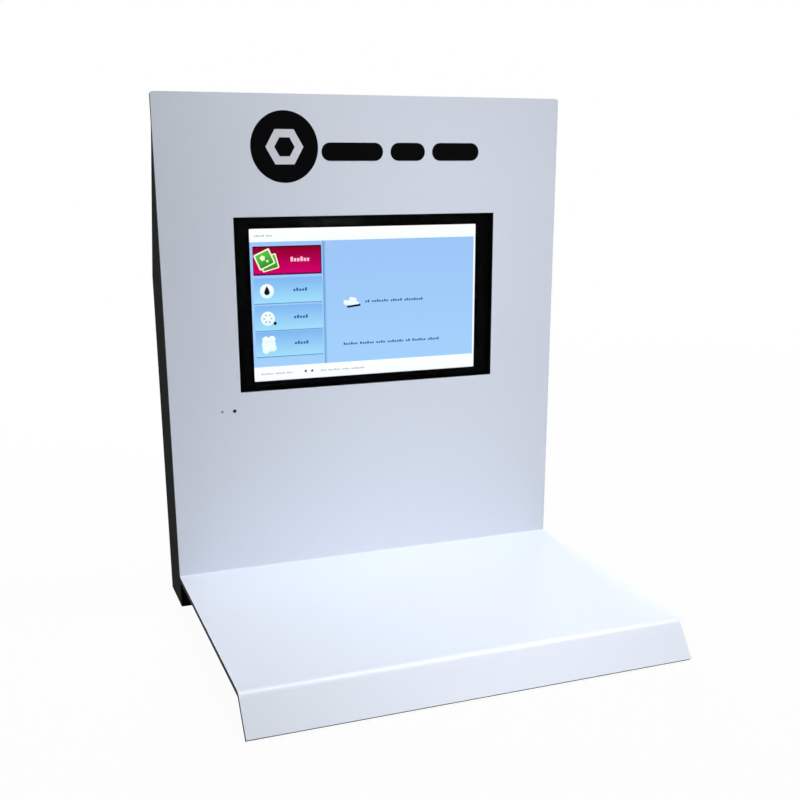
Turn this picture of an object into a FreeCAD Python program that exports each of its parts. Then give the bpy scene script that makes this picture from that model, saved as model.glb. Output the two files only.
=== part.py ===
"""Counter-top touchscreen kiosk: a folded white-faced display panel and shelf on a black
acrylic housing, with a ten-inch touch display, its player board, a hinged service door and
a rear input panel.  Millimetres; X to the right, Y to the back, Z up; the origin is at the
middle of the footprint on the surface that the kiosk stands on.
"""
import FreeCAD, Part
import math
import os
import Sketcher

Vector = FreeCAD.Vector
Rotation = FreeCAD.Rotation
Placement = FreeCAD.Placement

DIMENSIONS = (
    # the folded front sheet: upright panel, level shelf and sloping front lip
    ("width", 375.0, "width of the panel, the shelf and the housing"),
    ("panel_height", 423.5, "top of the shelf to the top of the panel"),
    ("shelf_height", 31.0, "floor to the top of the shelf"),
    ("shelf_depth", 245.0, "panel face to the front bend"),
    ("lip_angle", 37.6, "slope of the front lip from upright, degrees"),
    ("core_thickness", 4.5, "black acrylic core of the front sheet"),
    ("laminate_thickness", 0.5, "white face laminate"),
    ("crease_radius", 1.5, "face radius of the bend between panel and shelf"),
    ("nose_radius", 9.5, "face radius of the bend between shelf and lip"),
    ("corner_radius", 3.0, "top corners of the panel"),
    # the black housing behind the panel
    ("housing_depth", 54.0, "panel face to the outside of the back"),
    ("slope_base", 301.0, "height at which the back starts to slope forward"),
    ("slope_head", 431.0, "height at which the sloping back meets the panel"),
    ("wall", 3.0, "thickness of the housing's acrylic sheet"),
    ("bend_radius", 4.0, "outside radius of the bend in the back"),
    ("housing_rounding", 1.0, "upright rear corners of the housing"),
    ("edge_rounding", 0.6, "outer edges of the door and the input panel"),
    ("strip_size", 8.0, "square strips that bond the side walls to the panel"),
    ("foot_height", 1.5, "rubber feet under the housing"),
    ("foot_radius", 7.0, "rubber feet"),
    ("foot_inset", 15.0, "centre of a foot to the housing's inner side"),
    # the display behind the panel
    ("window_width", 246.8, "opening in the panel"),
    ("window_height", 153.6, "opening in the panel"),
    ("window_rise", 168.0, "top of the shelf to the bottom of the opening"),
    ("active_width", 217.0, "lit area of the display"),
    ("active_height", 135.6, "lit area of the display"),
    ("active_drop", 1.4, "lit area's centre below the opening's centre"),
    ("glass_overlap", 7.0, "touch glass beyond the opening, all round"),
    ("glass_thickness", 1.8, "touch glass"),
    ("gasket_thickness", 0.5, "foam between the panel and the touch glass"),
    ("gasket_setback", 1.0, "foam's inner edge outside the opening's edge"),
    ("bond_gap", 0.3, "touch glass to display"),
    ("display_margin", 6.2, "display module beyond its lit area, all round"),
    ("display_thickness", 5.0, "display module"),
    ("tray_thickness", 1.0, "steel tray that holds the display"),
    ("tray_gap", 0.5, "tray's rim to the display module"),
    ("tray_setback", 0.5, "tray's rim behind the display's front"),
    ("block_size", 12.0, "square acrylic blocks that carry the tray"),
    ("block_gap", 2.0, "block to the touch glass"),
    ("block_spread", 100.0, "height between the two rows of blocks"),
    ("ear_width", 14.0, "tray ears, over the blocks"),
    ("blind_wall", 1.0, "acrylic left beyond the end of a block's bore"),
    ("ribbon_width", 30.0, "flat cable from the display to the player board"),
    ("ribbon_thickness", 0.3, "flat cable"),
    ("ribbon_shift", -6.0, "flat cable's centre from the player board's centre"),
    ("ribbon_rise", 7.0, "flat cable above the player board's top edge"),
    ("ribbon_clear", 1.0, "flat cable to its slot in the tray"),
    # the player board on the tray's back
    ("board_width", 120.0, "player board"),
    ("board_height", 76.0, "player board"),
    ("board_thickness", 1.6, "all printed circuit boards"),
    ("board_rise", 208.0, "floor to the bottom of the player board"),
    ("board_shift", -10.0, "player board's centre from the kiosk's centre"),
    ("standoff_height", 6.0, "tray to player board"),
    ("standoff_radius", 2.75, "hexagonal spacers, to their corners"),
    ("board_hole_inset", 4.0, "board's fixing holes from its edges"),
    ("chip_size", 21.0, "processor package"),
    ("chip_height", 1.4, "processor package"),
    ("sink_size", 30.0, "square heat sink on the processor"),
    ("sink_base", 2.0, "heat sink's base"),
    ("sink_height", 9.0, "heat sink, base and fins"),
    ("fin_thickness", 1.2, "heat sink fins"),
    # the receiver and the indicator left of the display
    ("receiver_offset", 129.7, "receiver's centre left of the kiosk's centre"),
    ("sensor_spacing", 11.2, "receiver's centre to the indicator's"),
    ("sensor_rise", 151.7, "top of the shelf to the receiver's centre"),
    ("receiver_radius", 1.7, "receiver's hole in the panel"),
    ("indicator_radius", 1.1, "indicator's hole in the panel"),
    ("lens_gap", 0.1, "lens to the wall of its hole"),
    ("lens_recess", 0.9, "rim of a lens behind the panel's face"),
    ("lens_crown", 0.3, "height of a lens's curved front"),
    ("lens_flange", 2.6, "flange of a lens behind the panel"),
    ("sensor_gap", 5.0, "panel's back to the sensor board"),
    ("sensor_post_radius", 1.8, "posts under the sensor board"),
    # the service door in the back
    ("door_width", 240.0, "opening for the service door"),
    ("door_height", 190.0, "opening for the service door"),
    ("door_rise", 62.0, "floor to the bottom of the door's opening"),
    ("door_gap", 1.0, "door to its opening, all round"),
    ("vent_length", 70.0, "vent slots in the door"),
    ("vent_radius", 1.5, "ends of the vent slots"),
    ("vent_pitch", 8.0, "height from one vent slot to the next"),
    ("vent_inset", 24.0, "outermost vent slot to the edge of the door's opening"),
    ("knuckle_radius", 2.5, "hinge knuckles"),
    ("pin_radius", 1.0, "hinge pins"),
    ("pin_gap", 0.05, "hinge pin to knuckle"),
    ("leaf_thickness", 1.0, "hinge leaves"),
    ("leaf_width", 15.0, "hinge leaf, pin axis to its far edge"),
    ("leaf_length", 40.0, "hinge leaves, along the pin"),
    ("leaf_gap", 0.2, "between the knuckles of the two leaves"),
    ("leaf_screw_reach", 9.0, "pin axis to the leaf's screws"),
    ("pin_head_radius", 1.7, "hinge pins' heads"),
    ("pin_head_height", 0.8, "hinge pins' heads"),
    ("hinge_spread", 120.0, "height between the two hinges"),
    # the cam lock in the door
    ("lock_inset", 16.0, "lock's centre to the door opening's free side"),
    ("barrel_radius", 6.0, "lock barrel"),
    ("barrel_length", 9.0, "lock barrel, behind the door's outer face"),
    ("bezel_radius", 9.0, "lock bezel"),
    ("bezel_height", 1.5, "lock bezel"),
    ("plug_radius", 4.0, "turning plug"),
    ("turning_gap", 0.05, "turning plug to its bore"),
    ("cam_reach", 25.0, "lock's centre to the cam's tip"),
    ("cam_width", 9.0, "cam arm"),
    ("cam_thickness", 1.6, "cam arm"),
    ("cam_gap", 0.3, "cam to the barrel's end, and to the strike"),
    ("nut_radius", 9.2, "lock's nut, to its corners"),
    ("nut_thickness", 3.0, "lock's nut"),
    ("keyway_width", 1.0, "slot for the key"),
    ("keyway_height", 5.2, "slot for the key"),
    ("keyway_depth", 6.0, "slot for the key, behind the door's outer face"),
    ("plug_proud", 0.3, "turning plug beyond the bezel"),
    ("strike_inset", 1.0, "strike to the edge of the door's opening"),
    ("strike_cover", 3.0, "strike beyond the tip of the cam"),
    # the input panel below the door
    ("plate_width", 200.0, "input panel"),
    ("plate_height", 40.0, "input panel"),
    ("plate_thickness", 2.0, "input panel"),
    ("plate_rise", 31.0, "floor to the input panel's centre"),
    ("plate_overlap", 7.0, "input panel beyond its opening, all round"),
    ("plate_screw_inset", 3.5, "input panel's screws from its edges"),
    ("socket_depth", 8.0, "input panel to its circuit board"),
    ("input_post_radius", 2.2, "posts between the input panel and its board"),
    ("input_post_gap", 0.8, "posts to the edge of the opening behind the panel"),
    ("input_board_height", 25.0, "circuit board behind the input panel"),
    ("key_radius", 3.0, "push keys"),
    ("key_gap", 0.3, "push key to its hole"),
    ("key_height", 1.2, "push keys, proud of the input panel"),
    ("key_travel", 0.8, "push keys"),
    ("collar_width", 1.0, "collar that keeps a push key in"),
    ("collar_height", 1.2, "collar of a push key"),
    ("collar_gap", 0.1, "collar to the input panel, and key to its switch"),
    ("stem_radius", 1.5, "stem behind a push key's collar"),
    ("stem_reach", 2.4, "end of the stem behind the input panel"),
    ("key_rounding", 0.4, "edge of a push key"),
    ("key_dish", 0.2, "hollow of a push key's top"),
    ("tact_size", 6.0, "square base of the small switches"),
    ("tact_height", 4.0, "base of the small switches"),
    ("tact_radius", 1.7, "plunger of the small switches"),
    ("inlet_rim_radius", 5.6, "rim of the power inlet"),
    ("inlet_rim_height", 1.2, "rim of the power inlet"),
    ("inlet_radius", 4.0, "barrel of the power inlet"),
    ("inlet_bore_radius", 2.75, "bore of the power inlet"),
    ("inlet_pin_radius", 1.0, "centre pin of the power inlet"),
    ("inlet_depth", 9.0, "power inlet behind the input panel"),
    ("inlet_bore_depth", 6.0, "bore of the power inlet behind the input panel"),
    ("port_width", 14.4, "data port's shell"),
    ("port_height", 6.4, "data port's shell"),
    ("port_wall", 0.6, "data port's shell"),
    ("tongue_height", 1.8, "data port's tongue"),
    ("tongue_gap", 0.4, "data port's tongue to the wall above it"),
    ("card_width", 29.0, "card socket"),
    ("card_height", 6.4, "card socket"),
    ("slit_width", 24.4, "card socket's slit"),
    ("slit_height", 2.4, "card socket's slit"),
    ("socket_wall", 1.0, "closed end of the data port and of the card socket"),
    ("cutout_gap", 0.2, "socket to its cut-out in the input panel"),
    ("key_pitch", 12.0, "from one push key to the next"),
    ("switch_width", 13.0, "power switch cut-out"),
    ("switch_height", 19.0, "power switch cut-out"),
    ("switch_flange", 1.2, "power switch's rim, width and thickness"),
    ("switch_throw", 14.0, "power rocker's travel, degrees"),
    ("switch_gap", 0.1, "power switch's body to its cut-out"),
    ("switch_wall", 0.8, "power switch's body"),
    ("switch_depth", 15.0, "power switch's body behind the input panel's face"),
    ("switch_well", 8.0, "depth of the well that the rocker tips in"),
    ("rocker_gap", 0.4, "rocker to the well's sides"),
    ("rocker_end_gap", 1.0, "rocker to the well's ends"),
    ("rocker_pivot", 3.0, "rocker's axis behind the input panel's face"),
    ("tab_length", 6.0, "power switch's terminals"),
    ("tab_width", 4.8, "power switch's terminals"),
    ("tab_thickness", 0.8, "power switch's terminals"),
    ("tab_spacing", 6.0, "between the power switch's terminals"),
    # speakers behind the back
    ("speaker_offset", 152.0, "speaker's centre from the kiosk's centre"),
    ("speaker_rise", 157.0, "floor to the speakers' centre"),
    ("speaker_radius", 20.0, "speaker's rim"),
    ("grille_pitch", 7.0, "from one grille slot to the next"),
    ("speaker_screw_inset", 2.9, "speaker's screws to its edge"),
    ("rim_thickness", 1.4, "speaker's rim"),
    ("frame_inset", 6.0, "speaker's frame, inside its rim"),
    ("magnet_inset", 9.0, "speaker's magnet, inside its rim"),
    ("magnet_front", 11.0, "speaker's magnet, from the mounting face"),
    ("speaker_depth", 17.0, "speaker, from the mounting face"),
    # screws
    ("screw_radius", 1.25, "small machine screws"),
    ("screw_gap", 0.15, "screw to its hole"),
    ("head_radius", 2.4, "screw heads"),
    ("head_height", 1.3, "screw heads"),
    ("tray_bite", 5.5, "tray's screws beyond the tray"),
    ("board_bite", 4.0, "player board's screws beyond the board"),
)

# Values that follow from the driving dimensions, in the order in which they are worked out.
DERIVED = (
    ("sheet", "Dims.core_thickness + Dims.laminate_thickness"),
    ("lip_drop", "Dims.shelf_height - At.sheet * sin(Dims.lip_angle)"),
    ("lip_run", "At.lip_drop * tan(Dims.lip_angle)"),
    ("rear_reach", "Dims.housing_depth + 2 * Dims.knuckle_radius"),
    ("face_y", "(Dims.shelf_depth + At.lip_run - At.rear_reach) / 2"),
    ("sheet_back", "At.face_y + At.sheet"),
    ("back_y", "At.face_y + Dims.housing_depth"),
    ("back_inner", "At.back_y - Dims.wall"),
    ("side_x", "Dims.width / 2"),
    ("side_inner", "At.side_x - Dims.wall"),
    ("top_z", "Dims.shelf_height + Dims.panel_height"),
    ("shelf_under", "Dims.shelf_height - At.sheet"),
    ("floor_top", "Dims.foot_height + Dims.wall"),
    ("slope", "atan((At.back_y - At.sheet_back) / (Dims.slope_head - Dims.slope_base))"),
    ("window_low", "Dims.shelf_height + Dims.window_rise"),
    ("window_high", "At.window_low + Dims.window_height"),
    ("window_z", "(At.window_low + At.window_high) / 2"),
    ("window_x", "Dims.window_width / 2"),
    ("glass_x", "At.window_x + Dims.glass_overlap"),
    ("glass_low", "At.window_low - Dims.glass_overlap"),
    ("glass_high", "At.window_high + Dims.glass_overlap"),
    ("glass_front", "At.sheet_back + Dims.gasket_thickness"),
    ("glass_back", "At.glass_front + Dims.glass_thickness"),
    ("display_z", "At.window_z - Dims.active_drop"),
    ("display_x", "Dims.active_width / 2 + Dims.display_margin"),
    ("display_half", "Dims.active_height / 2 + Dims.display_margin"),
    ("display_front", "At.glass_back + Dims.bond_gap"),
    ("display_back", "At.display_front + Dims.display_thickness"),
    ("rim_x", "At.display_x + Dims.tray_gap"),
    ("rim_half", "At.display_half + Dims.tray_gap"),
    ("tray_back", "At.display_back + Dims.tray_thickness"),
    ("block_x", "At.glass_x + Dims.block_gap + Dims.block_size / 2"),
    ("board_front", "At.tray_back + Dims.standoff_height"),
    ("board_back", "At.board_front + Dims.board_thickness"),
    ("board_hole_x", "Dims.board_width / 2 - Dims.board_hole_inset"),
    ("board_hole_z", "Dims.board_height / 2 - Dims.board_hole_inset"),
    ("board_z", "Dims.board_rise + Dims.board_height / 2"),
    ("sensor_z", "Dims.shelf_height + Dims.sensor_rise"),
    ("indicator_x", "-Dims.receiver_offset - Dims.sensor_spacing"),
    ("door_low", "Dims.door_rise"),
    ("door_high", "Dims.door_rise + Dims.door_height"),
    ("door_z", "(At.door_low + At.door_high) / 2"),
    ("door_x", "Dims.door_width / 2"),
    ("pin_x", "-At.door_x + Dims.door_gap / 2"),
    ("pin_y", "At.back_y + Dims.knuckle_radius"),
    ("knuckle_bore", "Dims.pin_radius + Dims.pin_gap"),
    ("board_y", "At.sheet_back + Dims.sensor_gap"),
    ("lock_x", "At.door_x - Dims.lock_inset"),
    ("barrel_end", "At.back_y - Dims.barrel_length"),
    ("cam_front", "At.barrel_end - Dims.cam_gap"),
    ("cam_back", "At.cam_front - Dims.cam_thickness"),
    ("plate_z", "Dims.plate_rise"),
    ("plate_outer", "At.back_y + Dims.plate_thickness"),
    ("slot_x", "Dims.plate_width / 2 - Dims.plate_overlap"),
    ("slot_half", "Dims.plate_height / 2 - Dims.plate_overlap"),
    ("socket_y", "At.back_y - Dims.socket_depth"),
    ("tab_end", "At.plate_outer - Dims.switch_depth - Dims.tab_length"),
    ("ribbon_x", "Dims.board_shift + Dims.ribbon_shift"),
    ("ribbon_z", "At.board_z + Dims.board_height / 2 + Dims.ribbon_rise"),
    ("hole_radius", "Dims.screw_radius + Dims.screw_gap"),
)

# Places on the input panel, from its centre, to the kiosk's right.
INLET_X = "-80"
SWITCH_X = "-54"
PORT_X = "-27"
CARD_X = "4"
FIRST_KEY_X = "36"
POSTS_X = ("-40", "20")
KEY_NAMES = ("key_power", "key_menu", "key_up", "key_down", "key_enter")

# Components on the player board: across and up from its centre, width, height, thickness.
CHIPS = (
    (34, 14, 11, 13, 1.2),
    (34, -4, 11, 13, 1.2),
    (-34, 12, 16, 12, 1.6),
    (-36, -8, 10, 10, 4.5),
)
SOCKETS = (
    (-40, -31, 12, 7, 7),
    (-18, -31, 14, 7, 7),
    (6, -31, 20, 7, 7),
    (34, -31, 16, 7, 7),
    (-6, 32.5, 34, 5, 2.5),
)

# Grille slots over a speaker: slots from its centre, and half the length between their ends.
GRILLE = ((-2, 8), (-1, 12), (0, 13.5), (1, 12), (2, 8))

# How far a cutting shape runs past the faces that it cuts.
OVERRUN = "1"

ALONG_X = Vector(1, 0, 0)
ALONG_Y = Vector(0, 1, 0)
ALONG_Z = Vector(0, 0, 1)
TURNED_ALONG = {
    "x": Rotation(ALONG_Y, 90),
    "y": Rotation(ALONG_X, -90),
    "z": Rotation(),
}

doc = FreeCAD.newDocument("touchscreen_kiosk")
subparts = []


# ---------------------------------------------------------------- the two tables of values

def make_dimensions():
    """The spreadsheet of driving dimensions: name, value and meaning on each row."""
    table = doc.addObject("Spreadsheet::Sheet", "Dims")
    for row, (alias, size, meaning) in enumerate(DIMENSIONS, 1):
        table.set("A%d" % row, alias)
        table.set("B%d" % row, str(size))
        table.setAlias("B%d" % row, alias)
        table.set("C%d" % row, meaning)
    doc.recompute()
    return table


def make_derived():
    """The variable set of values worked out from the driving dimensions."""
    table = doc.addObject("App::VarSet", "At")
    for name, _ in DERIVED:
        table.addProperty("App::PropertyFloat", name)
    for name, expression in DERIVED:
        table.setExpression(name, expression)
    doc.recompute()
    return table


dims = make_dimensions()
derived = make_derived()


def number(expression):
    """The present value of an expression on the two tables."""
    return float(dims.evalExpression(str(expression)))


# ---------------------------------------------------------------- helpers that build features

def keep(feature, name):
    """Names a finished sub-part and puts it on the list that is written out."""
    feature.Label = name
    subparts.append(feature)
    return feature


def place(feature, x, y, z):
    """Binds a feature's position to three expressions."""
    for axis, expression in zip("xyz", (x, y, z)):
        feature.setExpression("Placement.Base.%s" % axis, str(expression))


def block(name, x, y, z):
    """A box between three pairs of low and high expressions."""
    box = doc.addObject("Part::Box", name)
    for size, (low, high) in zip(("Length", "Width", "Height"), (x, y, z)):
        box.setExpression(size, "(%s) - (%s)" % (high, low))
    place(box, x[0], y[0], z[0])
    return box


def rod(name, axis, x, y, z, radius, length):
    """A cylinder that starts at a point and runs up an axis."""
    cylinder = doc.addObject("Part::Cylinder", name)
    cylinder.Placement = Placement(Vector(), TURNED_ALONG[axis])
    cylinder.setExpression("Radius", str(radius))
    cylinder.setExpression("Height", str(length))
    place(cylinder, x, y, z)
    return cylinder


def fused(name, shapes):
    """One solid from several that touch."""
    union = doc.addObject("Part::MultiFuse", name)
    union.Shapes = shapes
    union.Refine = True
    return union


def grouped(name, shapes):
    """Several separate solids in one object."""
    group = doc.addObject("Part::Compound", name)
    group.Links = shapes
    return group


def cut(name, base, tools):
    """A solid less one or more tools."""
    difference = doc.addObject("Part::Cut", name)
    difference.Base = base
    difference.Tool = tools[0] if len(tools) == 1 else fused(name + "_tools", tools)
    return difference


def around(centre, half):
    """The low and high expressions at half a size each side of a centre."""
    return "%s - (%s)" % (centre, half), "%s + (%s)" % (centre, half)


def new_sketch(body, plane, level):
    """A sketch on one of a body's own base planes, moved to a level along its normal."""
    sketch = body.newObject("Sketcher::SketchObject", body.Name + "_sketch")
    base = [face for face in body.Origin.OriginFeatures if face.Role == plane][0]
    sketch.AttachmentSupport = (base, [""])
    sketch.MapMode = "FlatFace"
    sketch.setExpression("AttachmentOffset.Base.z", str(level))
    return sketch


def pin_point(sketch, curve, vertex, across, up):
    """Fixes a point of a sketch at the given expressions, measured from its origin."""
    for kind, expression in (("DistanceX", across), ("DistanceY", up)):
        held = sketch.addConstraint(
            Sketcher.Constraint(kind, -1, 1, curve, vertex, number(expression)))
        sketch.setExpression("Constraints[%d]" % held, str(expression))


def draw_outline(sketch, corners):
    """A closed outline of straight lines through the given corners."""
    points = [Vector(number(across), number(up), 0) for across, up in corners]
    first = sketch.GeometryCount
    for index, point in enumerate(points):
        sketch.addGeometry(Part.LineSegment(point, points[(index + 1) % len(points)]))
    for index in range(len(points)):
        following = first + (index + 1) % len(points)
        sketch.addConstraint(Sketcher.Constraint("Coincident", first + index, 2, following, 1))
    for index, (across, up) in enumerate(corners):
        pin_point(sketch, first + index, 1, across, up)


def draw_circle(sketch, across, up, radius):
    """A circle at the given centre."""
    centre = Vector(number(across), number(up), 0)
    curve = sketch.addGeometry(Part.Circle(centre, ALONG_Z, number(radius)))
    pin_point(sketch, curve, 3, across, up)
    held = sketch.addConstraint(Sketcher.Constraint("Radius", curve, number(radius)))
    sketch.setExpression("Constraints[%d]" % held, str(radius))


def draw_slot(sketch, across, up, half_across, half_up, radius):
    """A slot with round ends; one of its two half lengths between end centres is zero."""
    ends = [("%s %s (%s)" % (across, sign, half_across), "%s %s (%s)" % (up, sign, half_up))
            for sign in "-+"]
    heading = math.atan2(number(half_up), number(half_across))
    arcs = []
    for (end_across, end_up), turn in zip(ends, (math.pi / 2, -math.pi / 2)):
        circle = Part.Circle(Vector(number(end_across), number(end_up), 0), ALONG_Z, number(radius))
        start = heading + turn
        arcs.append(sketch.addGeometry(Part.ArcOfCircle(circle, start, start + math.pi)))
    for arc, (end_across, end_up) in zip(arcs, ends):
        pin_point(sketch, arc, 3, end_across, end_up)
        held = sketch.addConstraint(Sketcher.Constraint("Radius", arc, number(radius)))
        sketch.setExpression("Constraints[%d]" % held, str(radius))
    for one, other in (arcs, arcs[::-1]):
        start = sketch.getPoint(one, 2)
        finish = sketch.getPoint(other, 1)
        line = sketch.addGeometry(Part.LineSegment(start, finish))
        sketch.addConstraint(Sketcher.Constraint("Tangent", one, 2, line, 1))
        sketch.addConstraint(Sketcher.Constraint("Tangent", line, 2, other, 1))


def rectangle(across, up):
    """The corners of a rectangle between two pairs of expressions."""
    return [(across[0], up[0]), (across[1], up[0]), (across[1], up[1]), (across[0], up[1])]


def plate(name, plane, span, outlines, circles=(), slots=()):
    """A body padded from a sketch between two levels along the plane's axis."""
    body = doc.addObject("PartDesign::Body", name)
    level = "-(%s)" % span[1] if plane == "XZ_Plane" else span[0]
    sketch = new_sketch(body, plane, level)
    for corners in outlines:
        draw_outline(sketch, corners)
    for circle in circles:
        draw_circle(sketch, *circle)
    for slot in slots:
        draw_slot(sketch, *slot)
    pad = body.newObject("PartDesign::Pad", name + "_pad")
    pad.Profile = sketch
    pad.setExpression("Length", "(%s) - (%s)" % (span[1], span[0]))
    return body


def pierce(body, outlines, circles=(), slots=()):
    """Cuts outlines drawn from the front right through a body, front to back."""
    sketch = new_sketch(body, "XZ_Plane", "0")
    for corners in outlines:
        draw_outline(sketch, corners)
    for circle in circles:
        draw_circle(sketch, *circle)
    for slot in slots:
        draw_slot(sketch, *slot)
    pocket = body.newObject("PartDesign::Pocket", body.Name + "_pocket")
    pocket.Profile = sketch
    pocket.Type = "ThroughAll"
    pocket.SideType = "Symmetric"


def round_edges(body, along, radius, places):
    """Rounds the straight edges that run along an axis and pass the given (x, y, z) places.

    A place's coordinate may be None, which stands for any.
    """
    doc.recompute()
    base = body.Tip
    names = []
    for count, edge in enumerate(base.Shape.Edges, 1):
        if edge.Curve.TypeId != "Part::GeomLine":
            continue
        if abs(edge.Curve.Direction.dot(along)) < 0.999:
            continue
        middle = edge.CenterOfMass
        for spot in places:
            gaps = [abs(found - number(wanted)) for found, wanted in zip(middle, spot)
                    if wanted is not None]
            if max(gaps) < 0.01:
                names.append("Edge%d" % count)
    if len(names) != len(places):
        raise RuntimeError("%s: %d edges found for %d places" % (body.Name, len(names), len(places)))
    fillet = body.newObject("PartDesign::Fillet", body.Name + "_fillet")
    fillet.Base = (base, names)
    fillet.setExpression("Radius", str(radius))


def turned(name, profile, x, y, z):
    """A body turned about the Y direction from a (radius, along) outline, set at a point."""
    body = doc.addObject("PartDesign::Body", name)
    sketch = new_sketch(body, "XY_Plane", "0")
    draw_outline(sketch, profile)
    revolution = body.newObject("PartDesign::Revolution", name + "_revolution")
    revolution.Profile = sketch
    revolution.ReferenceAxis = (sketch, ["V_Axis"])
    revolution.Angle = 360
    place(body, x, y, z)
    return body


def screw_shapes(places, heading, length):
    """Pan-head screws with a cross recess; each head stands at its place, shank behind it."""
    radius, head_radius, head = (number("Dims.%s" % size)
                                 for size in ("screw_radius", "head_radius", "head_height"))
    recess_width = head_radius / 3
    recess_depth = head / 2
    shank = Part.makeCylinder(radius, length, Vector(0, 0, -length))
    crown = Part.makeCylinder(head_radius, head)
    rim = [edge for edge in crown.Edges if edge.CenterOfMass.z > head - 0.01]
    crown = crown.makeFillet(head / 3, rim)
    cross = [Part.makeBox(wide, deep, head, Vector(-wide / 2, -deep / 2, head - recess_depth))
             for wide, deep in ((2.6 * recess_width, recess_width), (recess_width, 2.6 * recess_width))]
    screw = shank.fuse(crown).cut(cross[0].fuse(cross[1])).removeSplitter()
    turn = Rotation(ALONG_Z, heading)
    return [screw.transformed(Placement(Vector(*[number(size) for size in spot]), turn).toMatrix())
            for spot in places]


def keep_shapes(name, shapes):
    """One sub-part of several ready-made solids."""
    feature = doc.addObject("Part::Feature", name)
    feature.Shape = shapes[0] if len(shapes) == 1 else Part.makeCompound(shapes)
    return keep(feature, name)


def lead(route, radius):
    """An insulated lead along a route of points, with each corner rounded by a tangent arc."""
    points = [Vector(*[number(size) for size in spot]) for spot in route]
    edges = []
    start = points[0]
    for before, corner, after in zip(points, points[1:], points[2:]):
        one = (before - corner).normalize()
        other = (after - corner).normalize()
        turn = math.pi - one.getAngle(other)
        run = min(before.distanceToPoint(corner), after.distanceToPoint(corner))
        bend = 0.45 * run / math.tan(turn / 2)
        reach = bend * math.tan(turn / 2)
        middle = (one + other).normalize() * (bend / math.cos(turn / 2) - bend)
        arc_start, arc_end = corner + one * reach, corner + other * reach
        edges.append(Part.LineSegment(start, arc_start).toShape())
        edges.append(Part.Arc(arc_start, corner + middle, arc_end).toShape())
        start = arc_end
    edges.append(Part.LineSegment(start, points[-1]).toShape())
    path = Part.Wire(edges)
    heading = points[1] - points[0]
    ring = Part.Wire(Part.makeCircle(radius, points[0], heading))
    return path.makePipeShell([ring], True, False)


# ---------------------------------------------------------------- the folded front sheet

def fold_corners(depth):
    """Corners of the folded sheet's side view at a depth below its white face."""
    nose_shift = "(%s) * (1 - sin(Dims.lip_angle)) / cos(Dims.lip_angle)" % depth
    nose_y = "At.face_y - Dims.shelf_depth"
    return [
        ("At.face_y + %s" % depth, "At.top_z"),
        ("At.face_y + %s" % depth, "Dims.shelf_height - %s" % depth),
        ("%s + %s" % (nose_y, nose_shift), "Dims.shelf_height - %s" % depth),
        ("%s - At.lip_run + %s * cos(Dims.lip_angle)" % (nose_y, depth),
         "Dims.shelf_height - At.lip_drop - %s * sin(Dims.lip_angle)" % depth),
    ]


def folded_sheet(name, face_depth, rear_depth):
    """A layer of the front sheet between two depths below the white face."""
    face, rear = fold_corners(face_depth), fold_corners(rear_depth)
    sheet = plate(name, "YZ_Plane", around("0", "At.side_x"), [face + rear[::-1]])
    bends = (
        (face[1], "Dims.crease_radius + %s" % face_depth),
        (rear[1], "Dims.crease_radius + %s" % rear_depth),
        (face[2], "Dims.nose_radius - %s" % face_depth),
        (rear[2], "Dims.nose_radius - %s" % rear_depth),
    )
    for (across, up), radius in bends:
        round_edges(sheet, ALONG_X, radius, [("0", across, up)])
    tops = [(side + "At.side_x", None, "At.top_z") for side in ("-", "")]
    round_edges(sheet, ALONG_Y, "Dims.corner_radius", tops)
    pierce(sheet, [rectangle(around("0", "At.window_x"), ("At.window_low", "At.window_high"))],
           circles=[("-Dims.receiver_offset", "At.sensor_z", "Dims.receiver_radius"),
                    ("At.indicator_x", "At.sensor_z", "Dims.indicator_radius")])
    return keep(sheet, name)


def front_parts():
    folded_sheet("front_sheet", "Dims.laminate_thickness", "At.sheet")
    folded_sheet("face_laminate", "0", "Dims.laminate_thickness")


# ---------------------------------------------------------------- the black housing

def back_corners(depth):
    """Corners of the bent back's side view, from the floor up, at a depth inside its outer face."""
    return [
        ("At.back_y - %s" % depth, "Dims.foot_height"),
        ("At.back_y - %s" % depth, "Dims.slope_base - %s * tan(At.slope / 2)" % depth),
        ("At.sheet_back", "Dims.slope_head - %s / sin(At.slope)" % depth),
    ]


def side_panel(name, span):
    """A side wall between the front sheet and the bent back."""
    inner = back_corners("Dims.wall")
    corners = [("At.sheet_back", "Dims.foot_height")] + inner
    wall = plate(name, "YZ_Plane", span, [corners])
    round_edges(wall, ALONG_X, "Dims.bend_radius - Dims.wall", [(None,) + inner[1]])
    keep(wall, name)


def speaker_slots():
    """Grille slots in the back, in front of each speaker."""
    slots = []
    for side in ("-", ""):
        for step, half in GRILLE:
            across = "%sDims.speaker_offset + %d * Dims.grille_pitch" % (side, step)
            slots.append((across, "Dims.speaker_rise", "0", str(half), "Dims.vent_radius"))
    return slots


def hinge_heights():
    return [("upper", "At.door_z + Dims.hinge_spread / 2"), ("lower", "At.door_z - Dims.hinge_spread / 2")]


def leaf_screws(side):
    """Screw places of both leaves on one side of the hinge pins, -1 for the frame's."""
    return [("At.pin_x + %d * Dims.leaf_screw_reach" % side, "%s + %d * Dims.leaf_length / 3" % (height, end))
            for _, height in hinge_heights() for end in (-1, 1)]


def plate_screws():
    """Screw places of the input panel."""
    across = "Dims.plate_width / 2 - Dims.plate_screw_inset"
    up = "Dims.plate_height / 2 - Dims.plate_screw_inset"
    return [("%s(%s)" % (side, across), "At.plate_z %s (%s)" % (level, up))
            for side in ("-", "") for level in "-+"]


def speaker_screws():
    """Screw places on the rims of the speakers."""
    reach = "(Dims.speaker_radius - Dims.speaker_screw_inset)"
    return [("%sDims.speaker_offset" % side, "Dims.speaker_rise %s %s" % (level, reach))
            for side in ("-", "") for level in "-+"]


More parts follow.
